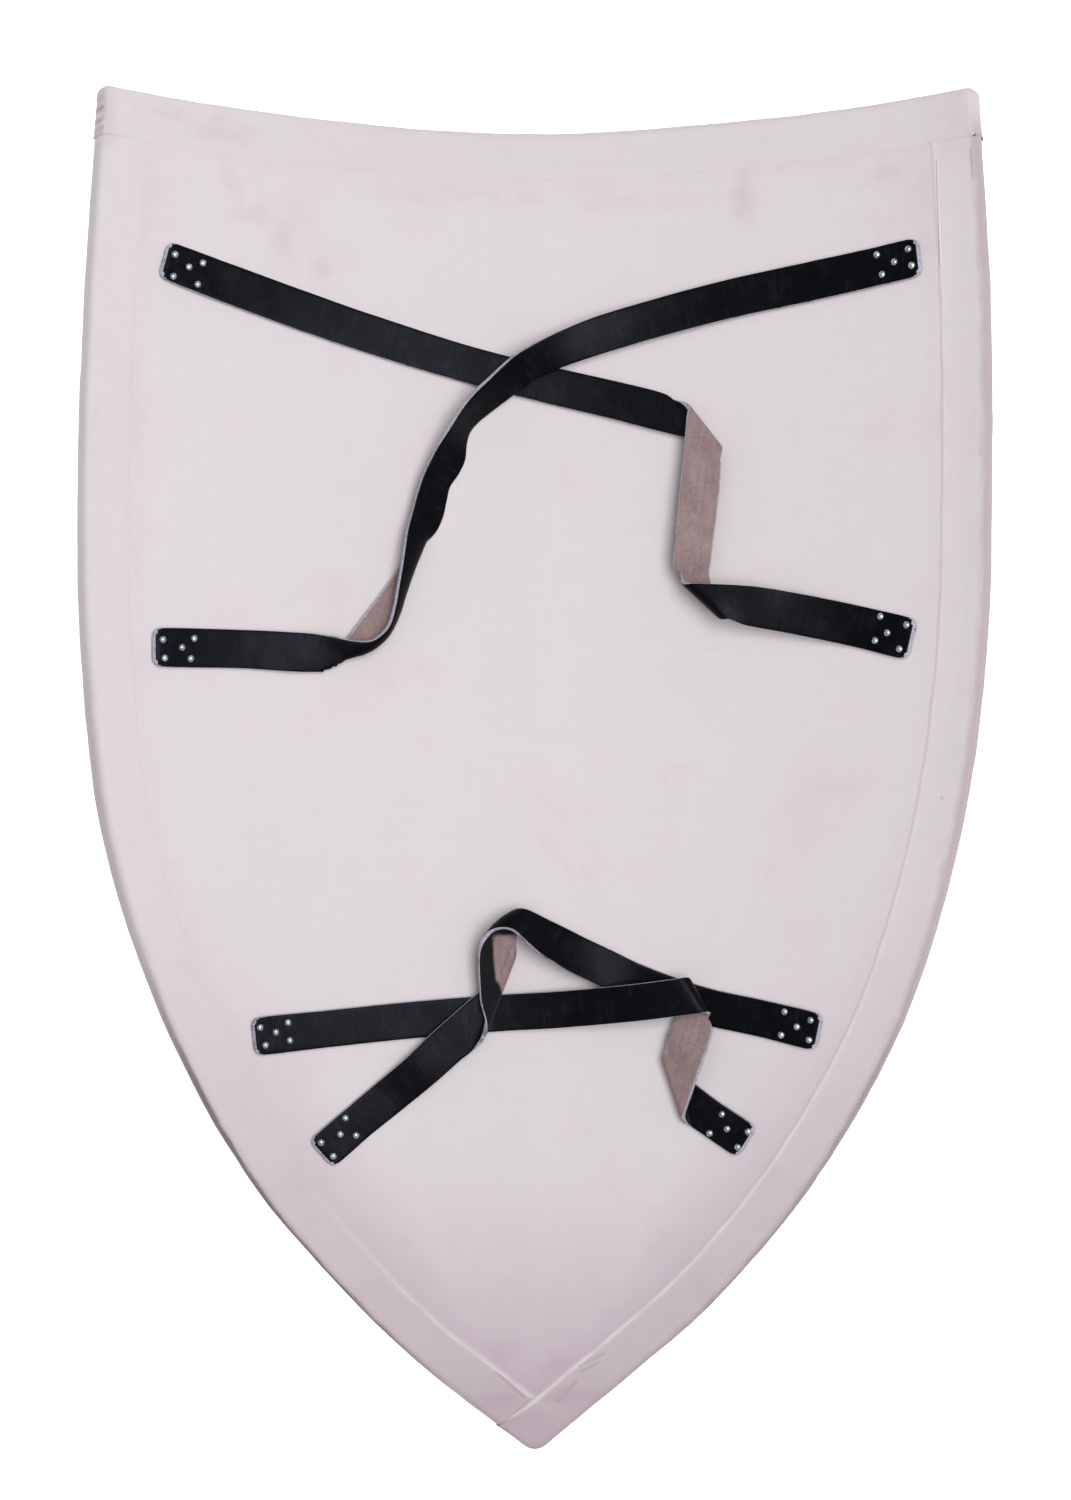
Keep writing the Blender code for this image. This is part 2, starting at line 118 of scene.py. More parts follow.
def place(x, y, height):
    """A point of the unrolled board, bent, in metres."""
    reach = BEND_RADIUS - height
    turn = x / BEND_RADIUS
    up = AXIS_UP - reach * math.cos(turn) + BED_LIFT * math.exp(-((x / BED_WIDE) ** 2))
    return (MM * (reach * math.sin(turn) + SHIFT_X), MM * (y + SHIFT_Y), MM * up)


# Height on the board, then how far the edge is from the centre line on the left and on the right
EDGE_AT = (
    (354.0, 246.5, 249.5),
    (250.0, 254.0, 256.3),
    (150.0, 258.0, 257.5),
    (50.0, 256.2, 254.3),
    (-50.0, 243.4, 239.0),
    (-150.0, 209.4, 207.5),
    (-240.0, 161.3, 158.4),
    (-310.0, 105.0, 103.5),
    (-360.0, 54.0, 50.0),
    (-402.0, 0.0, 0.0),
)
# Across the board, then how high the top edge is there
TOP_AT = (
    (-249.0, 356.6),
    (-170.0, 356.0),
    (-100.0, 354.3),
    (-50.0, 352.9),
    (0.0, 351.9),
    (50.0, 353.0),
    (110.0, 354.3),
    (180.0, 354.7),
    (252.0, 354.8),
)


def through(table, at, column=1):
    """A smooth curve through the rows of a table, read at one place."""
    keys = [row[0] for row in table]
    values = [row[column] for row in table]
    if keys[0] > keys[-1]:
        keys, values = keys[::-1], values[::-1]
    at = min(max(at, keys[0]), keys[-1])
    k = min(max(int(np.searchsorted(keys, at)) - 1, 0), len(keys) - 2)
    before, after = max(k - 1, 0), min(k + 2, len(keys) - 1)
    span = keys[k + 1] - keys[k]
    slope_a = (values[k + 1] - values[before]) / (keys[k + 1] - keys[before])
    slope_b = (values[after] - values[k]) / (keys[after] - keys[k])
    t = (at - keys[k]) / span
    return (
        (2 * t**3 - 3 * t**2 + 1) * values[k]
        + (t**3 - 2 * t**2 + t) * slope_a * span
        + (3 * t**2 - 2 * t**3) * values[k + 1]
        + (t**3 - t**2) * slope_b * span
    )


def edge_x(side, y):
    """Where the left (-1) or right (1) edge is at one height on the board."""
    return side * through(EDGE_AT, y, 1 if side < 0 else 2)


def edge_slope(side, y):
    """How fast the edge moves across the board, for each step up it."""
    return (edge_x(side, y + 2.0) - edge_x(side, y - 2.0)) / 4.0


def from_edge(side, x, y):
    """How far a point is inside the left or right edge, square to it."""
    return side * (edge_x(side, y) - x) / math.sqrt(1.0 + edge_slope(side, y) ** 2)


def rolling(x, y, size, seed):
    """A slow swell from -1 to 1, the same on each run."""
    return noise.noise(Vector((x / size, y / size, seed)))


BOARD_THICK = 10.0
# How far the board stays inside the strips' outer edge at the top, and at the sides
TOP_IN = 1.1
SIDE_IN = 1.43
BOARD_COLUMNS = 84
BOARD_ROWS = 150
BOARD_TIP = -397.0
BOARD_TOP = 352.0
# How much the cloth swells, and how deep inside the rim that begins and is full
FACE_SWELL = 0.22
SWELL_FROM = 20.0
SWELL_FULL = 50.0


def smooth_mesh(name, points, faces, sharp):
    """A mesh that is shaded smooth, except at edges over an angle in degrees."""
    mesh = bpy.data.meshes.new(name)
    mesh.from_pydata(points, [], faces)
    mesh.shade_smooth()
    mesh.set_sharp_from_angle(angle=math.radians(sharp))
    return mesh


def uv_layer(mesh, name, spots):
    """Writes one pair of coordinates, in metres, for each vertex."""
    layer = mesh.uv_layers.new(name=name)
    for loop in mesh.loops:
        layer.data[loop.index].uv = spots[loop.vertex_index]


def mark(mesh, name, values):
    """Writes one number for each vertex, for a material to read."""
    layer = mesh.attributes.new(name, "FLOAT", "POINT")
    layer.data.foreach_set("value", np.array(values, dtype=np.float32))


def rim_depth(x, y):
    """How far a point is inside the nearest edge."""
    return min(from_edge(-1, x, y), from_edge(1, x, y), through(TOP_AT, x) - y)


def make_board():
    grid = []
    for k in range(BOARD_ROWS + 1):
        share = k / BOARD_ROWS
        y = BOARD_TIP + share * (BOARD_TOP - BOARD_TIP)
        left, right = edge_x(-1, y) + SIDE_IN, edge_x(1, y) - SIDE_IN
        for j in range(BOARD_COLUMNS + 1):
            x = left + j / BOARD_COLUMNS * (right - left)
            top = through(TOP_AT, x) - TOP_IN
            grid.append((x, BOARD_TIP + share * (top - BOARD_TIP)))
    points, faces = [], []
    for face_height, out in ((0.0, 1), (-BOARD_THICK, -1)):
        for x, y in grid:
            near = max(0.0, min(1.0, (rim_depth(x, y) - SWELL_FROM) / (SWELL_FULL - SWELL_FROM)))
            swell = FACE_SWELL * near * (rolling(x, y, 85.0, 3.0) + 0.4 * rolling(x, y, 28.0, 9.0))
            points.append(place(x, y, face_height + out * swell))
    wide, count = BOARD_COLUMNS + 1, len(grid)
    for k in range(BOARD_ROWS):
        for a in range(k * wide, k * wide + BOARD_COLUMNS):
            faces.append((a, a + 1, a + 1 + wide, a + wide))
            faces.append((count + a, count + a + wide, count + a + 1 + wide, count + a + 1))
    # Once round the rim, to join the two faces
    border = list(range(wide))
    border += [k * wide + wide - 1 for k in range(1, BOARD_ROWS + 1)]
    border += [BOARD_ROWS * wide + j for j in range(wide - 2, -1, -1)]
    border += [k * wide for k in range(BOARD_ROWS - 1, 0, -1)]
    faces += [(a, count + a, count + b, b) for a, b in zip(border, border[1:] + border[:1])]
    mesh = smooth_mesh("shield_board", points, faces, 50)
    uv_layer(mesh, "Unrolled", [(x * MM, y * MM) for x, y in grid] * 2)
    mark(mesh, "rim", [rim_depth(x, y) * MM for x, y in grid] * 2)
    return mesh


ORIGIN = (0.0, 0.0, 0.0)
SOCKET_KINDS = {1: "NodeSocketFloat", 3: "NodeSocketVector", 4: "NodeSocketColor"}


def new_group(name, inputs, outputs):
    """A shader node group: its tree, what it is given and its result node. A socket's kind follows its value."""
    group = bpy.data.node_groups.new(name, "ShaderNodeTree")
    for way, sockets in (("INPUT", inputs), ("OUTPUT", outputs)):
        for label, value in sockets.items():
            kind = SOCKET_KINDS[len(value) if isinstance(value, tuple) else 1]
            group.interface.new_socket(label, in_out=way, socket_type=kind).default_value = value
    return group, group.nodes.new("NodeGroupInput").outputs, group.nodes.new("NodeGroupOutput")


def wire(tree, value, socket):
    """Sets an input to a constant, or links it to a socket or to the first output of a node."""
    if isinstance(value, bpy.types.NodeSocket):
        tree.links.new(value, socket)
    elif isinstance(value, bpy.types.Node):
        tree.links.new(value.outputs[0], socket)
    else:
        socket.default_value = value


def fill(tree, node, *places, **names):
    """Wires the inputs of a node in order, or by name with underscores for spaces."""
    for k, value in enumerate(places):
        wire(tree, value, node.inputs[k])
    for label, value in names.items():
        wire(tree, value, node.inputs[label.replace("_", " ")])


def add(tree, kind, settings=(), *places, **names):
    node = tree.nodes.new(kind)
    for label, value in dict(settings).items():
        setattr(node, label, value)
    fill(tree, node, *places, **names)
    return node


def calc(tree, operation, *values, clamp=False):
    return add(tree, "ShaderNodeMath", {"operation": operation, "use_clamp": clamp}, *values).outputs[0]


def plus(tree, a, b):
    return calc(tree, "ADD", a, b)


def times(tree, a, b):
    return calc(tree, "MULTIPLY", a, b)


def times_plus(tree, a, b, c):
    return calc(tree, "MULTIPLY_ADD", a, b, c)


def swayed(tree, value, share, base):
    """A base value, moved up and down by a share of how far a noise is from its middle."""
    return times_plus(tree, calc(tree, "SUBTRACT", value, 0.5), share, base)


def vector(tree, operation, *values, output="Vector"):
    return add(tree, "ShaderNodeVectorMath", {"operation": operation}, *values).outputs[output]


def scaled(tree, value, scale):
    return add(tree, "ShaderNodeVectorMath", {"operation": "SCALE"}, value, Scale=scale).outputs["Vector"]


def split(tree, value):
    return add(tree, "ShaderNodeSeparateXYZ", (), value).outputs


def remap(tree, value, low, high, to_low=0.0, to_high=1.0):
    """Eases a value from one range into another."""
    smooth = {"interpolation_type": "SMOOTHSTEP"}
    return add(tree, "ShaderNodeMapRange", smooth, value, low, high, to_low, to_high).outputs[0]


def blend_colour(tree, share, a, b):
    node = add(tree, "ShaderNodeMix", {"data_type": "RGBA"}, share)
    wire(tree, a, node.inputs[6])
    wire(tree, b, node.inputs[7])
    return node.outputs[2]


def speckle(tree, spot, scale, detail=3.0, rough=0.55):
    node = add(tree, "ShaderNodeTexNoise", Vector=spot, Scale=scale, Detail=detail, Roughness=rough)
    return node.outputs["Fac"]


def stretched(tree, spot, x, y, shift=ORIGIN):
    return add(tree, "ShaderNodeMapping", Vector=spot, Location=shift, Scale=(x, y, 1.0)).outputs[0]


def run(tree, group, **values):
    """The outputs of a node group."""
    return add(tree, "ShaderNodeGroup", {"node_tree": group}, **values).outputs


def weave_group():
    """Linen threads: a height for the bump, and long slubs that are a little lighter or darker."""
    inputs = {"Spot": ORIGIN, "Threads": 900.0}
    group, given, result = new_group("linen_weave", inputs, {"Height": 0.0, "Slubs": 0.0})
    spot = given["Spot"]
    wobble = add(group, "ShaderNodeTexNoise", Vector=spot, Scale=60.0, Detail=1.0).outputs["Color"]
    parts = split(group, vector(group, "MULTIPLY_ADD", wobble, (0.0012, 0.0012, 0.0), spot))
    turns = times(group, given["Threads"], 2 * math.pi)
    warp, weft = (calc(group, "SINE", times(group, parts[axis], turns)) for axis in "XY")
    weave = times(group, warp, weft)

    def both_ways(fine, coarse, shift, cross_shift):
        """Noise drawn out along the board, plus the same across it."""
        along = speckle(group, stretched(group, spot, fine, coarse, shift), 1.0, 2.0)
        across = speckle(group, stretched(group, spot, coarse, fine, cross_shift), 1.0, 2.0)
        return plus(group, along, across)

    broad = times(group, both_ways(330.0, 14.0, (1.0, 2.0, 0.0), (5.0, 1.0, 0.0)), 0.2)
    slubs = times_plus(group, both_ways(900.0, 26.0, ORIGIN, (3.0, 7.0, 0.0)), 0.3, broad)
    fill(group, result, Height=times_plus(group, weave, 0.16, slubs), Slubs=slubs)
    return group


def blot_group():
    """One soft, ragged blot round a spot."""
    inputs = {"Spot": ORIGIN, "Centre": ORIGIN, "Stretch": (1.0, 1.0, 1.0), "Ragged": 0.5}
    group, given, result = new_group("soft_blot", inputs, {"Mask": 0.0})
    away = vector(group, "SUBTRACT", given["Spot"], given["Centre"])
    length = vector(group, "LENGTH", vector(group, "DIVIDE", away, given["Stretch"]), output="Value")
    rough = speckle(group, given["Spot"], 75.0, 3.0, 0.5)
    reach = swayed(group, rough, times(group, given["Ragged"], 3.0), length)
    fill(group, result, Mask=remap(group, reach, 0.0, 1.35, 1.0, 0.0))
    return group


def primer_group():
    """The look of primed linen: colour with slubs, slow blotches and a given mask of grime and painted shade, and
    height.
    """
    inputs = {
        "Spot": ORIGIN,
        "Clean": (0.7, 0.66, 0.67, 1.0),
        "Grimy": (0.5, 0.44, 0.44, 1.0),
        "Grime": 0.0,
    }
    outputs = {"Color": (0.0, 0.0, 0.0, 1.0), "Height": 0.0, "Roughness": 0.0}
    group, given, result = new_group("primed_linen_look", inputs, outputs)
    spot = given["Spot"]
    weave = run(group, linen_weave, Spot=spot)
    blotches = speckle(group, spot, 9.0, 5.0, 0.6)
    patches = speckle(group, spot, 38.0, 4.0, 0.6)
    tone = swayed(group, weave["Slubs"], 0.11, 1.0)
    tone = swayed(group, blotches, 0.07, tone)
    tone = swayed(group, patches, 0.065, tone)
    broad, close = remap(group, blotches, 0.5, 0.75, 0.0, 0.2), remap(group, patches, 0.5, 0.75, 0.0, 0.12)
    dirt_and_shade = calc(group, "ADD", given["Grime"], plus(group, broad, close), clamp=True)
    base = blend_colour(group, dirt_and_shade, given["Clean"], given["Grimy"])
    height = times_plus(group, patches, 0.6, weave["Height"])
    rough = times_plus(group, patches, 0.2, 0.62)
    fill(group, result, Color=scaled(group, base, tone), Height=height, Roughness=rough)
    return group


linen_weave = weave_group()
soft_blot = blot_group()
primed_look = primer_group()

LINEN = (0.735, 0.69, 0.705, 1.0)
LINEN_DARKENED = (0.54, 0.43, 0.495, 1.0)
# Heights on the board, in metres, between which painted shade darkens the cloth towards the tip: near the rim and
# further in
RIM_SHADE_FROM, RIM_SHADE_TO, RIM_SHADE = -0.03, -0.43, 0.72
MIDDLE_SHADE_FROM, MIDDLE_SHADE_TO = -0.21, -0.43
# Old stains on the inner face, and two patches of painted shade inside the hems at the tip: place, half size across
# and along, ragged, strength
BOARD_BLOTS = (
    (119.0, 310.0, 10.0, 20.0, 0.4, 0.34),
    (222.0, 300.0, 40.0, 40.0, 0.6, 0.18),
    (-222.0, 300.0, 30.0, 30.0, 0.6, 0.12),
    (-160.0, 297.0, 20.0, 6.0, 0.7, 0.2),
    (-143.0, 283.0, 8.0, 13.0, 0.7, 0.2),
    (-122.0, 271.0, 8.0, 7.0, 0.5, 0.26),
    (-171.0, 314.0, 17.0, 9.0, 0.8, 0.2),
    (-134.0, 302.0, 14.0, 14.0, 0.6, 0.16),
    (206.0, 318.0, 9.0, 5.0, 0.5, 0.2),
    (-60.0, 316.0, 60.0, 7.0, 0.8, 0.14),
    (70.0, 312.0, 70.0, 7.0, 0.8, 0.14),
    # Painted shade just inside the two hems near the tip
    (-20.0, -342.0, 13.0, 8.0, 0.6, 0.14),
    (16.0, -350.0, 16.0, 8.0, 0.6, 0.14),
)


def principled(name):
    """A new material, its tree and its shader."""
    made = bpy.data.materials.new(name)
    made.use_nodes = True
    return made, made.node_tree, made.node_tree.nodes["Principled BSDF"]


def bump(tree, shader, height, distance, strength):
    node = add(tree, "ShaderNodeBump", Height=height, Distance=distance, Strength=strength)
    fill(tree, shader, Normal=node.outputs["Normal"])


def uv_spot(tree, name):
    return add(tree, "ShaderNodeUVMap", {"uv_map": name}).outputs["UV"]


def marked(tree, name, output="Fac"):
    """What mark wrote on the mesh."""
    return add(tree, "ShaderNodeAttribute", {"attribute_name": name}).outputs[output]


def blotted(tree, spot, grime_and_shade, blots):
    """Adds each blot to a mask of grime and painted shade."""
    for x, y, half_x, half_y, ragged, strength in blots:
        centre, stretch = (x * MM, y * MM, 0.0), (half_x * MM, half_y * MM, 1.0)
        blot = run(tree, soft_blot, Spot=spot, Centre=centre, Stretch=stretch, Ragged=ragged)
        grime_and_shade = times_plus(tree, blot["Mask"], strength, grime_and_shade)
    return grime_and_shade


def linen_material():
    made, tree, shader = principled("primed_linen")
    spot, rim = uv_spot(tree, "Unrolled"), marked(tree, "rim")
    height = split(tree, spot)["Y"]
    # Painted shade: the cloth is darker towards the tip and near the rim, and in a band just inside the hems
    low_down = remap(tree, height, RIM_SHADE_FROM, RIM_SHADE_TO, 0.0, RIM_SHADE)
    beside = times(tree, low_down, remap(tree, rim, 0.08, 0.03))
    tip_shade = calc(tree, "MAXIMUM", beside, remap(tree, height, MIDDLE_SHADE_FROM, MIDDLE_SHADE_TO))
    grime_and_shade = plus(tree, tip_shade, remap(tree, rim, 0.026, 0.04, 0.1, 0.0))
    grime_and_shade = blotted(tree, spot, grime_and_shade, BOARD_BLOTS)
    look = run(tree, primed_look, Spot=spot, Clean=LINEN, Grimy=LINEN_DARKENED, Grime=grime_and_shade)
    fill(tree, shader, Base_Color=look["Color"], Roughness=look["Roughness"], Specular_IOR_Level=0.3)
    bump(tree, shader, look["Height"], 0.00035, 0.5)
    return made


board = link("shield_board", make_board())
board.data.materials.append(linen_material())
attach(board, "root")
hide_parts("board")

# ---------------------------------------------------------------------------------------------------------------
# The edge strips: three strips of linen, folded over the rim and glued down on both faces, then primed. The top
# strip lies over the ends of the side ones, and the right strip lies over the left one at the tip.

HEM = 26.0
CORNER_ROUND = 4.0
TIP_ROUND = 9.0
# How far the outer edge waves in and out, slowly and finely, and how ragged it is at the top strip's worn end
EDGE_WAVE = 0.35
FINE_WAVE = 0.22
CORNER_RAGGED = 0.9
# Across the strip from the outer edge (0) to the hem, which is turned under, then the height over the inner face
STRIP_BACK = (
    (26.0, 0.04),
    (25.3, 0.26),
    (24.5, 0.54),
    (23.6, 0.78),
    (22.4, 0.86),
    (20.8, 0.80),
    (19.2, 0.68),
    (17.6, 0.58),
    (14.5, 0.54),
    (11.0, 0.58),
    (8.0, 0.68),
    (5.6, 0.80),
    (3.9, 0.84),
    (2.7, 0.70),
    (1.7, 0.34),
    (0.9, -0.30),
    (0.3, -1.20),
    (0.0, -2.40),
)
STRIP_EDGE = (-3.7, -5.0, -6.3)
STRIP_INSIDE = ((25.6, 0.0), (14.0, 0.0), (3.4, 0.0), (1.4, -1.2), (0.9, -5.0))


def strip_section():
    """One loop round a strip: the back, the edge, the front and then the hidden inside."""
    back = [(s, h, 1.0) for s, h in STRIP_BACK]
    edge = [(0.0, h, 1.0) for h in STRIP_EDGE]
    front = [(s, -BOARD_THICK - h, 1.0) for s, h in reversed(STRIP_BACK)]
    inside = [(s, h, 0.0) for s, h in STRIP_INSIDE]
    inside_front = [(s, -BOARD_THICK - h, 0.0) for s, h in STRIP_INSIDE[:-1]]
    return back + edge + front + inside_front + inside[::-1]


def ease(value, low, high):
    """From 0 at low to 1 at high, with soft ends."""
    t = max(0.0, min(1.0, (value - low) / (high - low)))
    return t * t * (3 - 2 * t)


WALK_STEP = 0.5


def walk(points):
    """The same path with points spaced evenly, about one step apart."""
    path = np.array(points, dtype=float)
    runs = np.concatenate([[0.0], np.cumsum(np.linalg.norm(np.diff(path, axis=0), axis=1))])
    at = np.linspace(0.0, runs[-1], max(2, int(round(runs[-1] / WALK_STEP)) + 1))
    return np.column_stack([np.interp(at, runs, path[:, k]) for k in (0, 1)])


def rings_between(outer, inner, step):
    """Pairs of points, the same share of the way along two paths."""
    outer, inner = walk(outer), walk(inner)
    count = max(3, int(len(outer) * WALK_STEP / step) + 1)

    def shares(path):
        at = np.linspace(0, len(path) - 1, count)
        return np.column_stack([np.interp(at, range(len(path)), path[:, k]) for k in (0, 1)])

    return list(zip(shares(outer), shares(inner)))


SIDE_TOP = 353.0


def side_path(side, low):
    """Points down one edge from the top corner, which is rounded, to a height near the tip."""
    points = []
    for y in np.arange(SIDE_TOP, low - 0.01, -1.0):
        into = max(0.0, y - (SIDE_TOP - CORNER_ROUND))
        back = CORNER_ROUND - math.sqrt(max(0.0, CORNER_ROUND**2 - into**2))
        points.append((edge_x(side, y) - side * back, y))
    return points


NOSE_FROM = -385.0


def nose_path():
    """Round the tip, from the right edge to the left one."""
    tip = Vector((0.0, EDGE_AT[-1][0]))
    a, c = (tip + (Vector((edge_x(side, NOSE_FROM), NOSE_FROM)) - tip).normalized() * TIP_ROUND for side in (1, -1))
    shares = [k / 12 for k in range(13)]
    return [tuple(a * (1 - t) ** 2 + tip * 2 * t * (1 - t) + c * t * t) for t in shares]


def hem_path(side, low):
    """The points of a side hem that are square to the edge, from the top to a height near the tip."""
    points = []
    for y in np.arange(SIDE_TOP, low, -1.0):
        normal = Vector((-side, side * edge_slope(side, y))).normalized()
        points.append(tuple(Vector((edge_x(side, y), y)) + normal * HEM))
    return points


# The height of the corners' ends on the side edges, how far the top strip stands out, and where the right strip's
# end crosses the left edge
TOP_HEM_Y = 329.6
TOP_OUT = 0.3
TIP_CROSS = (-20.6, -385.4)


def top_hem(first, last, count):
    """Points along the top strip's hem."""
    return [(x, through(TOP_AT, x) - HEM - 0.6) for x in np.linspace(first, last, count)]


def corner_path(side):
    """From the side edge, level with the top hem, up and round the top corner."""
    top = through(TOP_AT, side * 248.0) + TOP_OUT
    points = [(edge_x(side, y), y) for y in np.arange(TOP_HEM_Y, top - CORNER_ROUND, 1.0)]
    x, y = edge_x(side, top - CORNER_ROUND) - side * CORNER_ROUND, top - CORNER_ROUND
    for k in range(9):
        turn = math.pi / 2 * k / 8
        points.append((x + side * CORNER_ROUND * math.cos(turn), y + CORNER_ROUND * math.sin(turn)))
    return points


# How far the rings of a corner reach along the top hem, which ends this short of the edge, and their spacing
CORNER_HEM = 24.0
HEM_SHORT = 0.8
RING_STEP = 4.0
CORNER_STEP = 1.6
left_corner, right_corner = corner_path(-1), corner_path(1)
first, last = left_corner[-1][0], right_corner[-1][0]
hem_first, hem_last = left_corner[0][0] + HEM_SHORT, right_corner[0][0] - HEM_SHORT
top_outer = [(x, through(TOP_AT, x) + TOP_OUT) for x in np.arange(first, last + 0.1, 1.0)]
top_rings = rings_between(left_corner, top_hem(hem_first, first + CORNER_HEM, 20), CORNER_STEP)
top_rings += rings_between(top_outer, top_hem(first + CORNER_HEM, last - CORNER_HEM, 400), RING_STEP)[1:]
top_rings += rings_between(right_corner[::-1], top_hem(last - CORNER_HEM, hem_last, 20), CORNER_STEP)[1:]

# The right strip turns round the tip from here on
TIP_FROM = -356.0
right_inner = hem_path(1, TIP_FROM - 0.1)
right_rings = rings_between(side_path(1, TIP_FROM), right_inner, RING_STEP)
tip_outer = [(edge_x(1, y), y) for y in np.arange(TIP_FROM, -394.6, -1.0)] + nose_path()
tip_outer += [(edge_x(-1, y), y) for y in np.arange(-394.5, TIP_CROSS[1] + 0.1, 0.5)]
right_rings += rings_between(tip_outer, [right_inner[-1], (TIP_CROSS[0] + 0.9, TIP_CROSS[1] + 0.9)], 2.0)[1:]

# The left strip ends under the right one, and its hem ends further in
LEFT_END = -390.0
LEFT_HEM_END = (3.0, -369.8)
left_rings = rings_between(side_path(-1, LEFT_END), hem_path(-1, -352.0) + [LEFT_HEM_END], RING_STEP)


def over_corners(k, count):
    """How far the top strip's outer edge stands out over the ends of the side strips."""
    return 0.55 * (1.0 - ease(min(k, count - 1 - k), 20, 30))


def cover_left(k, count):
    """How far the right strip's outer edge stands out over the left one."""
    return 0.6 * ease(k, count - 24, count - 12)


def top_lift(x, y, back):
    """The top strip rides up over the ends of the side strips."""
    return 0.62 * (1.0 - ease(min(from_edge(-1, x, y), from_edge(1, x, y)), 24.0, 28.5))


def tip_lift(x, y, back):
    """The right strip rides up over the left one at the tip."""
    return 0.75 * (1.0 - ease(from_edge(-1, x, y), 24.5, 28.5)) if back and y <= -340.0 else 0.0


def no_lift(x, y, back):
    return 0.0


def ridge_highlight(seed, y):
    """How strongly the hem's crest is painted lighter, as a painted highlight: all of the right one, and the left
    one near the tip.
    """
    return {1.0: 0.0, 2.0: 0.95, 3.0: 0.75 - 0.7 * ease(y, -340.0, -240.0)}[seed]


def rim_value(s, h):
    """1 low on the edge, fading to 0 over its rounded shoulder."""
    return ease(-h, 0.0, 4.5) if h > -BOARD_THICK / 2 else 1.0 - ease(s, 0.0, 5.0)


# How much of the hem's ridge stands up on the top (1), right (2) and left (3) strips, over the flat cloth
HEM_STANDS = {1.0: 0.38, 2.0: 0.65, 3.0: 0.15}
FLAT_CLOTH = 0.5
# Where the hem's ridge is highest, and its half width
CREST_AT = 23.6
CREST_HALF = 0.9
# The part of the section next to the edge keeps its shape, and a strip under this width is squeezed as a whole
EDGE_PART = 4.0
NARROW = 8.0
SHOULDER = 9.0


def strip_mesh(name, rings, lift, spread_out, seed):
    """Sweeps the section along pairs of points: the outer edge and the hem."""
    section = strip_section()
    points, spots, where, faces = [], [], [], []
    marks = {"edge": [], "ridge": [], "shoulder": []}
    along, last = 0.0, Vector(rings[0][0])
    for k, (outer, inner) in enumerate(rings):
        o, way = Vector(outer), Vector(inner) - Vector(outer)
        along += (o - last).length
        last = o
        wide = way.length
        way.normalize()
        keep = min(1.0, wide / NARROW)
        out = spread_out(k, len(rings)) if spread_out else 0.0
        wave = EDGE_WAVE * rolling(along, 0.0, 31.0, seed) + FINE_WAVE * rolling(along, 0.0, 11.0, seed + 5.0)
        if seed == 1.0:
            wave += CORNER_RAGGED * rolling(along, 0.0, 3.4, seed + 11.0) * (1.0 - ease(along, 18.0, 27.0))
        across, before = 0.0, None
        for s, h, shown in section:
            full = min(s, EDGE_PART) + max(0.0, s - EDGE_PART) * (wide - EDGE_PART) / (HEM - EDGE_PART)
            reach = keep * full + (1.0 - keep) * s * wide / HEM
            hem_wave = 0.5 * rolling(along, 50.0, 18.0, seed) * ease(s, 20.0, 26.0)
            p = o + way * (reach - (out + wave) * (1.0 - ease(s, 0.0, SHOULDER)) + hem_wave)
            back = h > -BOARD_THICK / 2
            if s > 12.0 and h > FLAT_CLOTH:
                h = FLAT_CLOTH + (h - FLAT_CLOTH) * HEM_STANDS[seed]
            rise = lift(p.x, p.y, back) * ease(s, 0.0, 2.5)
            rise += 0.10 * rolling(p.x, p.y, 16.0, seed + 2.0) * shown * ease(s, 0.3, 3.0)
            points.append(place(p.x, p.y, h + (rise if back else -rise)))
            across += math.dist((s, h), before or (s, h))
            before = (s, h)
            spots.append((along * MM, across * MM))
            where.append((p.x * MM, p.y * MM, 0.0))
            crest = math.exp(-(((s - CREST_AT) / CREST_HALF) ** 2)) * ease(h, 0.0, 0.4) * keep
            marks["edge"].append(rim_value(s, h))
            marks["ridge"].append(crest * ridge_highlight(seed, p.y))
            marks["shoulder"].append(1.0 - min(1.0, max(0.0, s) / SHOULDER))
    n = len(section)
    for k in range(0, len(points) - n, n):
        for j in range(n):
            a, b = k + j, k + (j + 1) % n
            faces.append((a, b, b + n, a + n))
    faces += [tuple(range(n - 1, -1, -1)), tuple(range(len(points) - n, len(points)))]
    mesh = smooth_mesh(name, points, faces, 48)
    uv_layer(mesh, "Along", spots)
    for label, values in marks.items():
        mark(mesh, label, values)
    layer = mesh.attributes.new("spot", "FLOAT_VECTOR", "POINT")
    layer.data.foreach_set("vector", np.array(where, dtype=np.float32).ravel())
    return mesh


STRIP_CLEAN = (0.725, 0.678, 0.694, 1.0)
STRIP_DARKENED = (0.52, 0.425, 0.475, 1.0)
# Pale: a painted highlight on the hems' crests, and the bare flecks where the corner is worn through
PALE_HIGHLIGHT_AND_BARE = (0.82, 0.76, 0.775, 1.0)
# The colour of the painted shade on the rim's edge and shoulder
EDGE_SHADE = (0.42, 0.335, 0.35, 1.0)
# Dark brown: painted shade on the edge above the tip, and the dark worn flecks at the upper left corner
EDGE_BROWN = (0.11, 0.075, 0.065, 1.0)
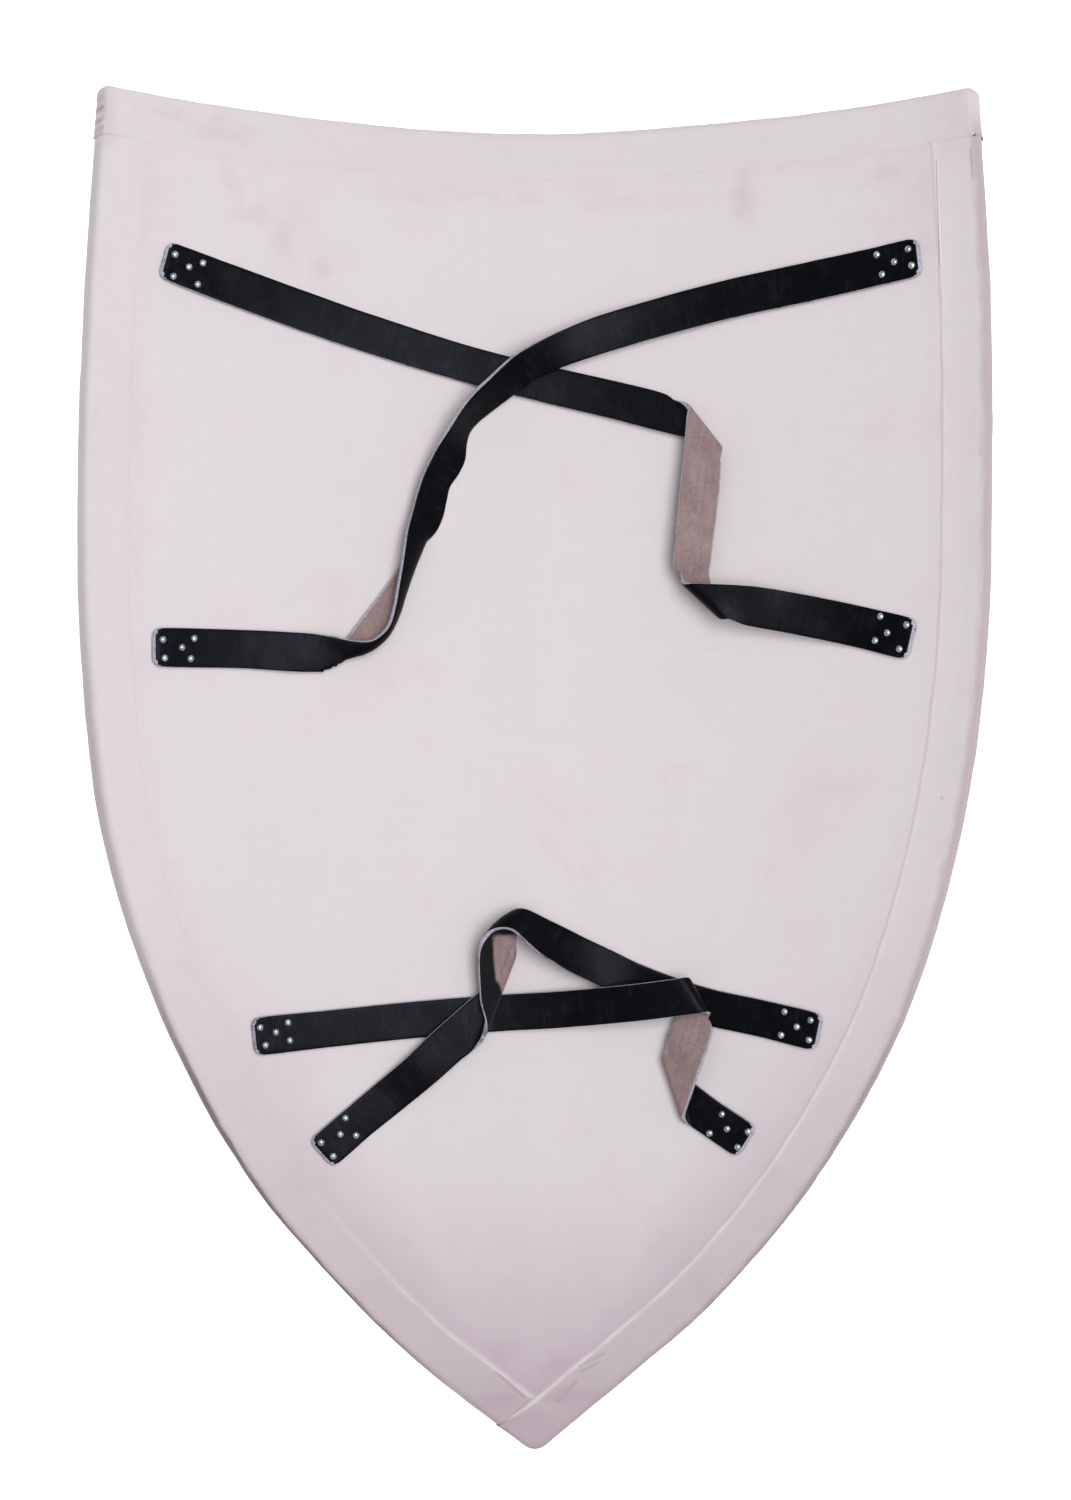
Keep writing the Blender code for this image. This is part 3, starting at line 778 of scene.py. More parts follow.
# Creases pressed into the cloth near the tip and at the upper right: two ends, then the half width
CREASES = (
    ((-22.8, -355.3), (-6.9, -369.7), 1.5),
    ((13.0, -371.1), (23.7, -359.5), 1.4),
    ((25.1, -350.9), (39.4, -343.5), 1.2),
    ((26.5, -354.2), (36.0, -349.0), 1.0),
    ((249.2, 321.5), (250.6, 306.0), 0.9),
    ((229.6, 318.0), (231.4, 262.0), 0.8),
)
STRIP_BLOTS = (
    # The first two are painted shade just inside the hems near the tip, the rest are stains
    (-22.0, -372.0, 14.0, 5.0, 1.0, 0.2),
    (22.0, -368.0, 16.0, 5.0, 1.0, 0.2),
    (-246.0, 340.0, 8.0, 14.0, 0.8, 0.3),
    (240.0, 335.0, 16.0, 25.0, 0.6, 0.18),
    (-180.0, 342.0, 22.0, 8.0, 0.8, 0.2),
    (-214.0, 347.0, 20.0, 5.0, 0.8, 0.16),
    (232.5, -26.0, 1.6, 1.5, 0.2, 0.8),
)

# Where the cloth is worn through at the upper left corner: the place, then the half size
WORN_PLACE = (-0.2515, 0.3385, 0.0)
WORN_SIZE = (0.006, 0.02, 1.0)
FLECK_SIZE = (0.006, 0.003, 1.0)
FLECK_TURN = 0.8


def crease_group():
    """A soft mark along a line, from one point by a way to another."""
    inputs = {"Spot": ORIGIN, "From": ORIGIN, "Way": ORIGIN, "Half Width": 0.001}
    group, given, result = new_group("pressed_crease", inputs, {"Mask": 0.0})
    way = given["Way"]
    away = vector(group, "SUBTRACT", given["Spot"], given["From"])
    ahead = vector(group, "DOT_PRODUCT", away, way, output="Value")
    whole = vector(group, "DOT_PRODUCT", way, way, output="Value")
    nearest = scaled(group, way, calc(group, "DIVIDE", ahead, whole, clamp=True))
    gap = vector(group, "DISTANCE", away, nearest, output="Value")
    fill(group, result, Mask=remap(group, calc(group, "DIVIDE", gap, given["Half Width"]), 0.0, 1.0, 1.0, 0.0))
    return group


def strip_material():
    made, tree, shader = principled("edge_cloth")
    spot, where = uv_spot(tree, "Along"), marked(tree, "spot", "Vector")
    edge, shoulder, ridge = (marked(tree, name) for name in ("edge", "shoulder", "ridge"))
    parts = split(tree, where)
    x_at, y_at = parts["X"], parts["Y"]
    pressed = None
    for (x, y), (to_x, to_y), half in CREASES:
        way = ((to_x - x) * MM, (to_y - y) * MM, 0.0)
        crease = run(tree, pressed_crease, Spot=where, From=(x * MM, y * MM, 0.0), Way=way, Half_Width=half * MM)
        pressed = calc(tree, "MAXIMUM", pressed, crease["Mask"]) if pressed else crease["Mask"]
    # Painted shade: the strips grow darker towards the tip
    grime_and_shade = remap(tree, y_at, RIM_SHADE_FROM, RIM_SHADE_TO, 0.04, RIM_SHADE)
    grime_and_shade = plus(tree, grime_and_shade, remap(tree, y_at, -0.335, -0.4, 0.0, 0.3))
    # The pressed creases are also painted darker, as painted shade in their hollows
    grime_and_shade = blotted(tree, where, times_plus(tree, pressed, 0.2, grime_and_shade), STRIP_BLOTS)
    look = run(tree, primed_look, Spot=spot, Clean=STRIP_CLEAN, Grimy=STRIP_DARKENED, Grime=grime_and_shade)
    # A painted highlight along the hems' crests, broken up by streaky noise
    streak_noise = speckle(tree, stretched(tree, spot, 60.0, 220.0), 1.0, 5.0, 0.65)
    crest = times(tree, ridge, remap(tree, streak_noise, 0.3, 0.6, 0.5, 1.0))
    colour = blend_colour(tree, crest, look["Color"], PALE_HIGHLIGHT_AND_BARE)
    # Painted shade on the rim's edge and shoulder: strongest on the right, and all round further down
    edge_shade = remap(tree, x_at, -0.2, 0.2, 0.0, 0.8)
    edge_shade = calc(tree, "MAXIMUM", edge_shade, remap(tree, y_at, 0.15, -0.05, 0.02, 0.42))
    edge_shade = times(tree, edge_shade, remap(tree, y_at, 0.345, 0.325, 0.25, 1.0))
    edge_shade = times(tree, remap(tree, swayed(tree, streak_noise, 0.4, shoulder), 0.42, 1.0), edge_shade)
    colour = blend_colour(tree, edge_shade, colour, EDGE_SHADE)
    # Above the tip the edge is painted dark brown as painted shade, most on the left
    brown = times(tree, remap(tree, y_at, -0.1, -0.2), remap(tree, y_at, -0.375, -0.33))
    brown = times(tree, remap(tree, swayed(tree, streak_noise, 0.3, shoulder), 0.72, 0.95), brown)
    brown = times(tree, brown, remap(tree, x_at, 0.03, -0.03, 0.28, 0.74))
    colour = blend_colour(tree, brown, colour, EDGE_BROWN)
    # The upper left corner is worn through, in pale and dark flecks
    worn = run(tree, soft_blot, Spot=where, Centre=WORN_PLACE, Stretch=WORN_SIZE, Ragged=0.2)["Mask"]
    worn = remap(tree, worn, 0.1, 0.5)
    flecks = add(tree, "ShaderNodeMapping", {"vector_type": "TEXTURE"}, Vector=where)
    fill(tree, flecks, Rotation=(0.0, 0.0, FLECK_TURN), Scale=FLECK_SIZE)
    torn = speckle(tree, flecks, 1.0, 3.0, 0.6)
    colour = blend_colour(tree, times(tree, worn, remap(tree, torn, 0.44, 0.38)), colour, PALE_HIGHLIGHT_AND_BARE)
    colour = blend_colour(tree, times(tree, worn, remap(tree, torn, 0.55, 0.66, 0.0, 0.42)), colour, EDGE_BROWN)
    fill(tree, shader, Base_Color=colour, Roughness=look["Roughness"], Specular_IOR_Level=0.3)
    chips = remap(tree, speckle(tree, spot, 420.0, 3.0, 0.6), 0.6, 0.72)
    height = times_plus(tree, chips, times(tree, edge, -0.8), look["Height"])
    bump(tree, shader, times_plus(tree, pressed, -2.5, height), 0.0004, 0.5)
    return made


pressed_crease = crease_group()
cloth = strip_material()
STRIPS = (
    ("edge_cloth_top", "edge_strip_top", top_rings, top_lift, over_corners, 1.0),
    ("edge_cloth_right", "edge_strip_right", right_rings, tip_lift, cover_left, 2.0),
    ("edge_cloth_left", "edge_strip_left", left_rings, no_lift, None, 3.0),
)
for name, node, rings, lift, spread_out, seed in STRIPS:
    strip = link(name, strip_mesh(name, rings, lift, spread_out, seed))
    strip.data.materials.append(cloth)
    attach(strip, "root")
    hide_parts(node)

# ---------------------------------------------------------------------------------------------------------------
# The straps: four lengths of black leather, dyed on the grain side, with the pale flesh side and raw cut edges
# showing where they fold and twist. Each end is riveted flat to the board.

STRAP_WIDE = 20.8
STRAP_THICK = 2.8
# The height of a strap's middle where it lies on the board
FLAT = 0.5 + STRAP_THICK / 2
# How far back from a strap's end, then how much narrower each side is there
END_ROUND = ((0.0, 4.6), (0.3, 3.2), (0.7, 2.2), (1.3, 1.3), (2.4, 0.5), (4.2, 0.0))
FOLD_STEPS = 6


def direction(heading):
    return Vector((math.cos(math.radians(heading)), math.sin(math.radians(heading))))


def square(x, y, heading, height, wide=STRAP_WIDE, tilt=0.0):
    """A line square across the strap, from its left edge to its right edge. Tilt raises the left edge."""
    ahead = direction(heading)
    flat = Vector((-ahead.y, ahead.x)) * (wide / 2 * math.cos(math.radians(tilt)))
    rise = wide / 2 * math.sin(math.radians(tilt))
    a, b = Vector((x, y)) + flat, Vector((x, y)) - flat
    return [(a.x, a.y, height + rise), (b.x, b.y, height - rise)]


def roll(left, right, radius, over, heading):
    """The lines around a fold whose outermost line runs from left to right, over itself (1) or under (-1)."""
    a, b = Vector(left), Vector(right)
    along = Vector((b.x - a.x, b.y - a.y)).normalized()
    inward = Vector((-along.y, along.x))
    if inward.dot(direction(heading)) > 0:
        inward = -inward
    slide = -along.dot(direction(heading)) / inward.dot(direction(heading))
    lines = []
    for k in range(FOLD_STEPS + 1):
        turn = math.pi * k / FOLD_STEPS
        shift = inward * radius * (1 - math.sin(turn)) + along * slide * radius * (turn - math.pi / 2)
        up = over * radius * (1 - math.cos(turn))
        lines.append([(p.x + shift.x, p.y + shift.y, p.z + up) for p in (a, b)])
    return lines


def curled(high, nose, low):
    """A line across a strap that is rolled into a trough, bulging most at nose, from low to high."""
    a, b = Vector(low), Vector(high)
    pull = Vector(nose) * 2 - (a + b) / 2
    return [tuple(a * (1 - t) ** 2 + pull * 2 * t * (1 - t) + b * t * t) for t in (0.0, 1 / 3, 2 / 3, 1.0)]


def spread(line):
    """Four evenly spaced points along a line across the strap."""
    if len(line) == 4:
        return line
    a, b = Vector(line[0]), Vector(line[1])
    return [tuple(a + (b - a) * k / 3) for k in range(4)]


def finish(x, y, heading, wide=STRAP_WIDE):
    """The lines of a strap's end with its corners taken off, outermost last. Heading points out of the end."""
    lines = []
    for back, narrower in END_ROUND[::-1]:
        spot = Vector((x, y)) - direction(heading) * back
        lines.append(square(spot.x, spot.y, heading, FLAT, wide - 2 * narrower))
    return lines


def start(x, y, heading):
    """The same for the end that a strap begins with. Heading points along the strap."""
    return [[right, left] for left, right in finish(x, y, heading + 180)[::-1]]


def smooth_rows(lines, step):
    """A smooth strap through the lines, with rows about one step apart and closer together in the folds."""
    rows = np.array([spread(line) for line in lines], dtype=float)
    middle_runs = np.linalg.norm(np.diff(rows.mean(axis=1), axis=0), axis=1)
    chords = np.maximum(middle_runs, 0.6 * np.linalg.norm(np.diff(rows, axis=0), axis=2).max(axis=1))
    knots = np.concatenate([[0.0], np.cumsum(np.sqrt(chords))])
    made, along = [rows[0]], [0.0]
    # One more row and knot past each end
    rows = [2 * rows[0] - rows[1], *rows, 2 * rows[-1] - rows[-2]]
    knots = [-knots[1], *knots, knots[-1] + (knots[-1] - knots[-2])]

    def between(t, t_a, a, t_b, b):
        return (t_b - t) / (t_b - t_a) * a + (t - t_a) / (t_b - t_a) * b

    for k, chord in enumerate(chords):
        (t0, t1, t2, t3), (p0, p1, p2, p3) = knots[k : k + 4], rows[k : k + 4]
        count = max(1, int(round(chord / step)))
        for j in range(1, count + 1):
            t = t1 + (t2 - t1) * j / count
            a1, a2, a3 = between(t, t0, p0, t1, p1), between(t, t1, p1, t2, p2), between(t, t2, p2, t3, p3)
            b1, b2 = between(t, t0, a1, t2, a2), between(t, t1, a2, t3, a3)
            made.append(between(t, t1, b1, t2, b2))
            along.append(along[-1] + chord / count)
    return np.array(made), np.array(along)


# Shares of the way across, closer together at the two cut edges, and how much of the thickness is left there
ACROSS = (0.0, 0.006, 0.02, 0.05, 0.12, 0.22, 0.32, 0.41, 0.5, 0.59, 0.68, 0.78, 0.88, 0.95, 0.98, 0.994, 1.0)
ROUNDING = (0.62, 0.8, 0.93, 1.0)


def across_four(rows, share):
    """The point at one share of the way across each row, on a smooth curve through its four points."""
    weights = [math.prod((share * 3 - other) / (k - other) for other in range(4) if other != k) for k in range(4)]
    return sum(w * rows[:, k] for k, w in enumerate(weights))


STRAP_STEP = 2.2
# How high the upper side is over the middle at a strap's last rows, where the raw end slopes off
END_SKIVED = (-0.5, -0.1, 0.3, 0.7, 0.92)
# The sides of the leather, and how many faces in from each side are raw, from a strap's end on
GRAIN, FLESH, CUT = 0, 1, 2
RAW_FACES = (16, 16, 16, 4, 2)
# How much the leather puffs up between its rivets, and how wide the dent round a rivet is
PUFF = 0.35
DENT = 3.6


def volume_of(mesh):
    """The signed volume inside a closed mesh, which is negative where its faces point inwards."""
    mesh.calc_loop_triangles()
    corners = np.array([v.co for v in mesh.vertices], dtype=float)
    a, b, c = np.array([t.vertices for t in mesh.loop_triangles]).T
    return float(np.einsum("ij,ij->i", corners[a], np.cross(corners[b], corners[c])).sum() / 6)


def puffed(x, y, h, rivets):
    """The height of a point of the strap with the leather's own swell."""
    if h >= FLAT + 0.4:
        return h + PUFF * rolling(x, y, 21.0, 6.0)
    dent = sum(math.exp(-(((x - rx) ** 2 + (y - ry) ** 2) / DENT**2)) for rx, ry in rivets)
    return h + PUFF * (0.5 + rolling(x, y, 17.0, 4.0)) * (1 - min(1.0, dent)) * ease(h, 0.0, 1.0)


def side_of_leather(k, j, count, wide):
    """What a face shows, by its row k of count and its place j round the strap, the grain side first."""
    if j < wide - 1:
        from_end, from_side = min(k, count - 2 - k), min(j, wide - 2 - j)
        raw = RAW_FACES[from_end] if from_end < len(RAW_FACES) else 1
        return CUT if from_side < raw else GRAIN
    return FLESH if wide + 1 < j < 2 * wide - 3 else CUT


def strap_mesh(name, lines, rivets, flesh_dark=None):
    """A thick leather strap through the lines. Its grain side faces up at the first line."""
    rows, along = smooth_rows(lines, STRAP_STEP)
    grid = np.stack([across_four(rows, share) for share in ACROSS], axis=1)
    count, wide = grid.shape[:2]
    for row in grid:
        for point in row:
            point[2] = puffed(*point, rivets)
    world = np.array([[place(*point) for point in row] for row in grid])
    normal = np.cross(np.gradient(world, axis=1), np.gradient(world, axis=0))
    normal /= np.linalg.norm(normal, axis=2, keepdims=True)
    if normal[0, wide // 2, 2] < 0:
        normal = -normal
    left_over, skived = np.ones(wide), np.ones(count)
    for shares, thinned in ((ROUNDING, left_over), (END_SKIVED, skived)):
        for k, share in enumerate(shares):
            thinned[k] = thinned[-1 - k] = share
    thick = STRAP_THICK / 2 * MM * left_over[None, :, None]
    top = world + normal * thick * skived[:, None, None]
    loop = np.concatenate([top, (world - normal * thick)[:, ::-1]], axis=1)
    n = 2 * wide
    faces, kinds = [], []
    for k in range(count - 1):
        for j in range(n):
            a, b = k * n + j, k * n + (j + 1) % n
            faces.append((a, a + n, b + n, b))
            kinds.append(side_of_leather(k, j, count, wide))
    for k, turned in ((0, False), (count - 1, True)):
        for j in range(wide - 1):
            a, d = k * n + j, k * n + n - 1 - j
            faces.append((a, d, d - 1, a + 1) if turned else (a, a + 1, d - 1, d))
            kinds.append(CUT)
    mesh = smooth_mesh(name, loop.reshape(-1, 3).tolist(), faces, 55)
    mesh.polygons.foreach_set("material_index", kinds)
    if volume_of(mesh) < 0:
        mesh.flip_normals()
    shares = ACROSS + ACROSS[::-1]
    uv_layer(mesh, "Strap", [(at * MM, share * STRAP_WIDE * MM) for at in along for share in shares])
    flat = np.concatenate([grid, grid[:, ::-1]], axis=1)
    # Where the flesh side is painted nearly black: a dark band, and painted shade high in the loop
    dark = [flesh_dark(*row[j][:2], shares[j]) if flesh_dark else -1.0 for row in flat for j in range(n)]
    mark(mesh, "dark_band_and_shade", dark)
    return mesh


def grain_group():
    """Leather grain: small pebbles, pores and long faint creases across the strap."""
    outputs = {"Height": 0.0, "Worn": 0.0}
    group, given, result = new_group("leather_grain", {"Spot": ORIGIN, "Along": ORIGIN}, outputs)
    spot = given["Spot"]
    cells = add(group, "ShaderNodeTexVoronoi", {"feature": "DISTANCE_TO_EDGE"}, Vector=spot, Scale=1100.0)
    pebbles = remap(group, cells.outputs["Distance"], 0.0, 0.25)
    fine = speckle(group, spot, 2400.0, 2.0)
    creases = speckle(group, stretched(group, given["Along"], 420.0, 60.0), 1.0, 4.0, 0.6)
    broad = speckle(group, spot, 90.0, 4.0, 0.6)
    height = times_plus(group, pebbles, 0.35, times(group, fine, 0.15))
    height = times_plus(group, creases, 0.5, height)
    height = times_plus(group, broad, 0.9, height)
    fill(group, result, Height=height, Worn=remap(group, times(group, creases, broad), 0.22, 0.42))
    return group


def object_spot(tree):
    return add(tree, "ShaderNodeTexCoord").outputs["Object"]


def grain_material():
    made, tree, shader = principled("black_grain")
    grain = run(tree, leather_grain, Spot=object_spot(tree), Along=uv_spot(tree, "Strap"))
    colour = blend_colour(tree, grain["Worn"], (0.0022, 0.0022, 0.0028, 1.0), (0.0075, 0.0075, 0.010, 1.0))
    rough = remap(tree, grain["Worn"], 0.0, 1.0, 0.32, 0.26)
    fill(tree, shader, Base_Color=colour, Roughness=rough, Specular_IOR_Level=0.10)
    fill(tree, shader, Specular_Tint=(0.74, 0.76, 1.0, 1.0))
    bump(tree, shader, grain["Height"], 0.0003, 0.35)
    return made


def flesh_material():
    made, tree, shader = principled("suede_flesh")
    spot = object_spot(tree)
    nap, patches = speckle(tree, spot, 700.0, 4.0, 0.7), speckle(tree, spot, 70.0, 4.0, 0.6)
    streaks = speckle(tree, stretched(tree, uv_spot(tree, "Strap"), 60.0, 500.0), 1.0, 3.0)
    share = times_plus(tree, nap, 0.5, times_plus(tree, patches, 0.5, times(tree, streaks, 0.3)))
    share = remap(tree, share, 0.4, 0.9)
    colour = blend_colour(tree, share, (0.215, 0.142, 0.143, 1.0), (0.365, 0.27, 0.27, 1.0))
    # The flesh side is painted nearly black in a band, and as painted shade high in the loop
    dark_band_and_shade = swayed(tree, patches, 0.12, marked(tree, "dark_band_and_shade"))
    colour = blend_colour(tree, remap(tree, dark_band_and_shade, -0.04, 0.05), colour, (0.006, 0.006, 0.0075, 1.0))
    fill(tree, shader, Base_Color=colour, Roughness=0.9, Specular_IOR_Level=0.2, Sheen_Weight=0.1)
    bump(tree, shader, plus(tree, nap, patches), 0.0004, 0.5)
    return made


def cut_material():
    made, tree, shader = principled("raw_cut_edge")
    spot = object_spot(tree)
    fibres, smears = speckle(tree, spot, 900.0, 3.0, 0.6), speckle(tree, spot, 120.0, 4.0, 0.7)
    colour = blend_colour(tree, remap(tree, fibres, 0.3, 0.7), (0.30, 0.30, 0.37, 1.0), (0.53, 0.52, 0.62, 1.0))
    colour = blend_colour(tree, remap(tree, smears, 0.54, 0.68, 0.0, 0.6), colour, (0.05, 0.048, 0.055, 1.0))
    fill(tree, shader, Base_Color=colour, Roughness=0.85, Specular_IOR_Level=0.2)
    bump(tree, shader, fibres, 0.0003, 0.6)
    return made


leather_grain = grain_group()
strap_finish = (grain_material(), flesh_material(), cut_material())


def add_strap(name, lines, rivets, flesh_dark=None):
    strap = link(name + "_leather", strap_mesh(name + "_leather", lines, rivets, flesh_dark))
    for made in strap_finish:
        strap.data.materials.append(made)
    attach(strap, "root")
    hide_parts(name)


# The upper strap that passes under the other one, from the upper left to the lower right. It is folded over
# twice, so its flesh side shows between the folds.
UNDER_RIVETS = (
    (-207, 270), (-191, 267), (-199, 264), (-208, 258), (-194, 255),
    (198, 73), (213, 68), (202, 64), (195, 60), (209, 55),
)
lines = [
    *start(-213.5, 267.0, -15.4),
    square(-160, 252.9, -15.4, FLAT, wide=22.2),
    square(-95, 234.8, -15.4, FLAT, wide=21.8),
    square(-30, 217.0, -15.4, FLAT + 0.3),
    square(48, 198.0, -15.6, FLAT + 1.2, wide=21.4),
    square(70, 191.8, -16.4, FLAT + 1.6, wide=21.4),
    *roll((87.6, 194.0, 3.6), (107.4, 168.7, 3.6), 3.4, 1, -17)[:-3],
    ((88.4, 191.8, 8.7), (107.8, 166.6, 8.6)),
    ((88.0, 188.8, 9.9), (107.8, 164.0, 9.5)),
    ((87.6, 185.0, 10.6), (107.8, 161.0, 9.6)),
    ((86.4, 167.0, 12.2), (107.4, 153.5, 9.4)),
    ((84.5, 150.0, 12.8), (106.4, 143.0, 9.4)),
    ((82.9, 132.5, 13.2), (105.0, 130.0, 9.5)),
    ((81.4, 116.5, 13.4), (103.2, 116.0, 9.7)),
    ((80.4, 106.0, 13.4), (102.0, 106.0, 10.0)),
    ((80.4, 101.8, 12.8), (101.0, 97.8, 10.0)),
    *roll((86.0, 94.2, 12.0), (108.0, 74.2, 10.0), 3.6, 1, -88)[:-1],
    square(124.0, 80.3, -7, 14.0, tilt=6, wide=22.0),
    square(150.0, 75.6, -11, 8.0, wide=22.8),
    square(176.0, 70.0, -13.5, 3.4, wide=22.8),
    square(190.0, 66.6, -14.5, FLAT, wide=22.8),
    *finish(216.3, 59.9, -13.8, wide=22.6),
]
add_strap("upper_strap_under", lines, UNDER_RIVETS)

# The upper strap that passes over the other one, from the upper right to the lower left. It leans up on one edge
# down its long curve, and is rolled into a trough before it turns back to its second end.
OVER_RIVETS = (
    (196, 271), (214, 272), (206, 266), (216, 263), (199, 260),
    (-214, 60), (-196, 61), (-203, 56), (-213, 50), (-198, 50),
)
lines = [
    *start(220.5, 267.5, 186.5),
    square(192.0, 264.2, 186.5, FLAT, wide=21.4),
    square(160.0, 260.3, 187.5, FLAT + 0.4, wide=22.0),
    square(117.0, 254.3, 190.0, FLAT + 1.3, wide=22.0),
    square(75.0, 245.4, 194.5, FLAT + 3.0, wide=21.8),
    square(31.0, 232.9, 206.0, FLAT + 6.4, tilt=-12),
    ((0.3, 211.5, 6.4), (-10.6, 223.3, 18.0)),
    ((-9.0, 204.8, 5.6), (-19.4, 216.2, 18.8)),
    ((-17.5, 198.8, 4.6), (-27.0, 209.2, 19.2)),
    ((-26.0, 192.6, 3.4), (-35.0, 202.0, 18.8)),
    ((-33.5, 186.6, 2.8), (-43.0, 193.0, 18.4)),
    ((-38.6, 180.0, 2.6), (-50.0, 182.6, 17.6)),
    ((-40.2, 172.6, 2.8), (-54.0, 176.4, 16.0)),
    ((-40.8, 165.0, 2.8), (-58.0, 170.2, 14.0)),
    ((-44.4, 157.0, 2.6), (-62.0, 162.6, 12.0)),
    ((-49.4, 149.6, 2.6), (-66.0, 154.0, 11.6)),
    ((-51.2, 142.0, 2.8), (-69.4, 143.6, 11.0)),
    ((-53.6, 131.8, 2.8), (-72.2, 133.2, 11.0)),
    ((-58.0, 123.4, 3.0), (-75.0, 124.0, 12.6)),
    # The upper edge, the outside of the trough, the lower edge
    curled((-76.6, 115.0, 13.6), (-66.6, 114.4, 6.8), (-66.0, 117.6, 2.4)),
    curled((-78.4, 104.0, 14.4), (-70.4, 103.0, 6.6), (-75.0, 109.0, 2.2)),
    curled((-80.6, 91.6, 14.0), (-75.2, 90.2, 6.2), (-83.2, 96.2, 2.0)),
    curled((-82.8, 79.2, 13.0), (-80.0, 77.4, 5.8), (-90.6, 86.0, 2.0)),
    curled((-86.6, 68.8, 12.2), (-87.4, 64.8, 5.4), (-98.0, 76.4, 2.0)),
    curled((-95.0, 61.8, 11.2), (-98.0, 55.8, 5.2), (-105.6, 66.4, 2.2)),
    curled((-104.6, 61.2, 9.8), (-108.4, 52.2, 5.2), (-114.2, 55.2, 2.6)),
    curled((-115.6, 63.2, 7.8), (-115.4, 49.9, 4.4), (-121.8, 45.5, 2.8)),
    ((-129.6, 43.7, 3.0), (-127.6, 65.0, 5.2)),
    square(-142.0, 54.8, 180.0, FLAT + 1.4, wide=22.0),
    square(-168.0, 55.8, 180.0, FLAT, wide=21.4),
    *finish(-219.5, 55.8, 180.0),
]
add_strap("upper_strap_over", lines, OVER_RIVETS)

# The lower strap that starts at the left. It crosses over the other lower strap, folds under itself and comes
# back down to its second end.
LEFT_RIVETS = (
    (-158, -154), (-142, -152), (-149, -157), (-155, -164), (-141, -162),
    (107, -205), (100, -216), (110, -213), (122, -214), (116, -223),
)
lines = [
    *start(-162.0, -159.4, 6.0),
    square(-120.0, -156.6, 4.2, FLAT),
    square(-60.0, -152.3, 4.2, FLAT),
    square(-12.0, -149.2, 3.8, FLAT + 1.0),
    square(14.0, -147.4, 5.0, FLAT + 3.6),
    square(38.0, -144.8, 7.0, FLAT + 7.4),
    square(62.0, -141.8, 7.5, FLAT + 10.2),
    *roll((88.2, -128.4, 12.8), (100.4, -147.6, 12.8), 3.5, -1, 7),
    ((81.6, -150.0, 5.4), (102.4, -157.0, 8.2)),
    ((77.8, -158.0, 5.4), (98.6, -171.0, 11.4)),
    ((75.8, -163.6, 5.6), (94.0, -184.0, 12.0)),
    *roll((74.0, -175.0, 7.2), (85.6, -209.4, 7.2), 2.6, -1, -112),
    square(98.2, -206.0, -31.5, FLAT),
    *finish(121.6, -220.4, -31.5),
]
add_strap("lower_strap_left", lines, LEFT_RIVETS)

# The lower strap that ends at the right. It folds over itself twice, in a loop that stands up off the board,
# and passes under the other lower strap.
RIGHT_RIVETS = (
    (-109, -207), (-112, -216), (-103, -217), (-123, -220), (-116, -228),
    (143, -146), (158, -150), (150, -154), (141, -159), (157, -161),
)
lines = [
    *start(-123.2, -227.2, 41.0),
    square(-100.0, -208.4, 41.0, FLAT),
    square(-84.0, -195.9, 41.0, FLAT + 0.6, wide=21.4),
    square(-66.0, -180.8, 41.0, 6.0, wide=21.8),
    ((-58.3, -158.8, 6.4), (-43.6, -176.0, 6.4)),
    *roll((-12.6, -117.4, 5.0), (-30.4, -162.6, 6.6), 3.0, 1, 44),
    ((-12.0, -113.0, 10.2), (-31.9, -143.4, 12.9)),
    ((-11.2, -108.5, 9.6), (-33.0, -131.5, 13.6)),
    ((-10.2, -103.5, 8.8), (-33.6, -121.0, 14.4)),
    ((-9.2, -99.0, 8.0), (-33.4, -113.8, 15.2)),
    curled((-31.2, -107.4, 16.4), (-21.2, -100.2, 12.4), (-9.6, -95.6, 7.8)),
    curled((-27.4, -102.8, 17.8), (-20.4, -96.4, 13.4), (-11.4, -93.0, 8.2)),
    curled((-22.6, -100.5, 19.2), (-17.7, -94.6, 14.6), (-11.2, -91.4, 9.2)),
    curled((-17.4, -100.1, 20.4), (-13.4, -94.4, 15.7), (-8.4, -90.5, 10.4)),
    ((-4.6, -90.8, 10.4), (-13.0, -101.4, 20.9)),
    ((0.2, -93.0, 9.0), (-8.9, -104.8, 20.6)),
    ((6.0, -96.0, 7.2), (-3.5, -109.6, 19.2)),
    ((13.0, -99.4, 6.0), (2.9, -115.0, 17.4)),
    ((20.0, -102.8, 5.2), (10.0, -119.5, 15.6)),
    ((28.0, -106.8, 4.4), (17.4, -124.2, 13.4)),
    ((43.0, -113.6, 3.0), (33.0, -132.0, 7.4)),
    ((60.0, -121.4, FLAT + 0.2), (51.2, -140.4, FLAT + 0.2)),
    square(76.0, -138.2, -21.0, FLAT),
    square(98.0, -144.6, -13.0, FLAT),
    square(130.0, -150.4, -9.5, FLAT),
    *finish(163.0, -156.8, -11.5),
]


# Height on the board, then the share of the way across from which the flesh side is painted nearly black
DARK_BAND_FROM = (
    (-162.0, 0.3),
    (-150.0, 0.4),
    (-142.0, 0.46),
    (-136.0, 0.52),
    (-126.0, 0.57),
    (-115.0, 0.62),
    (-106.0, 0.67),
    (-100.0, 0.73),
)


def dark_band_and_loop_shade(x, y, share):
    """Over 0 where the left half's flesh side is painted black: a band past a share across, and painted shade high
    in the loop.
    """
    return max(share - through(DARK_BAND_FROM, y), (y + 105.0) / 30.0) if x < 0.0 else -1.0


add_strap("lower_strap_right", lines, RIGHT_RIVETS, dark_band_and_loop_shade)

# ---------------------------------------------------------------------------------------------------------------
# The rivets: forty short steel rivets, five to each strap end. The small domed heads are hammered down on the
# leather, and the wider, flatter heads sit on the front of the board.

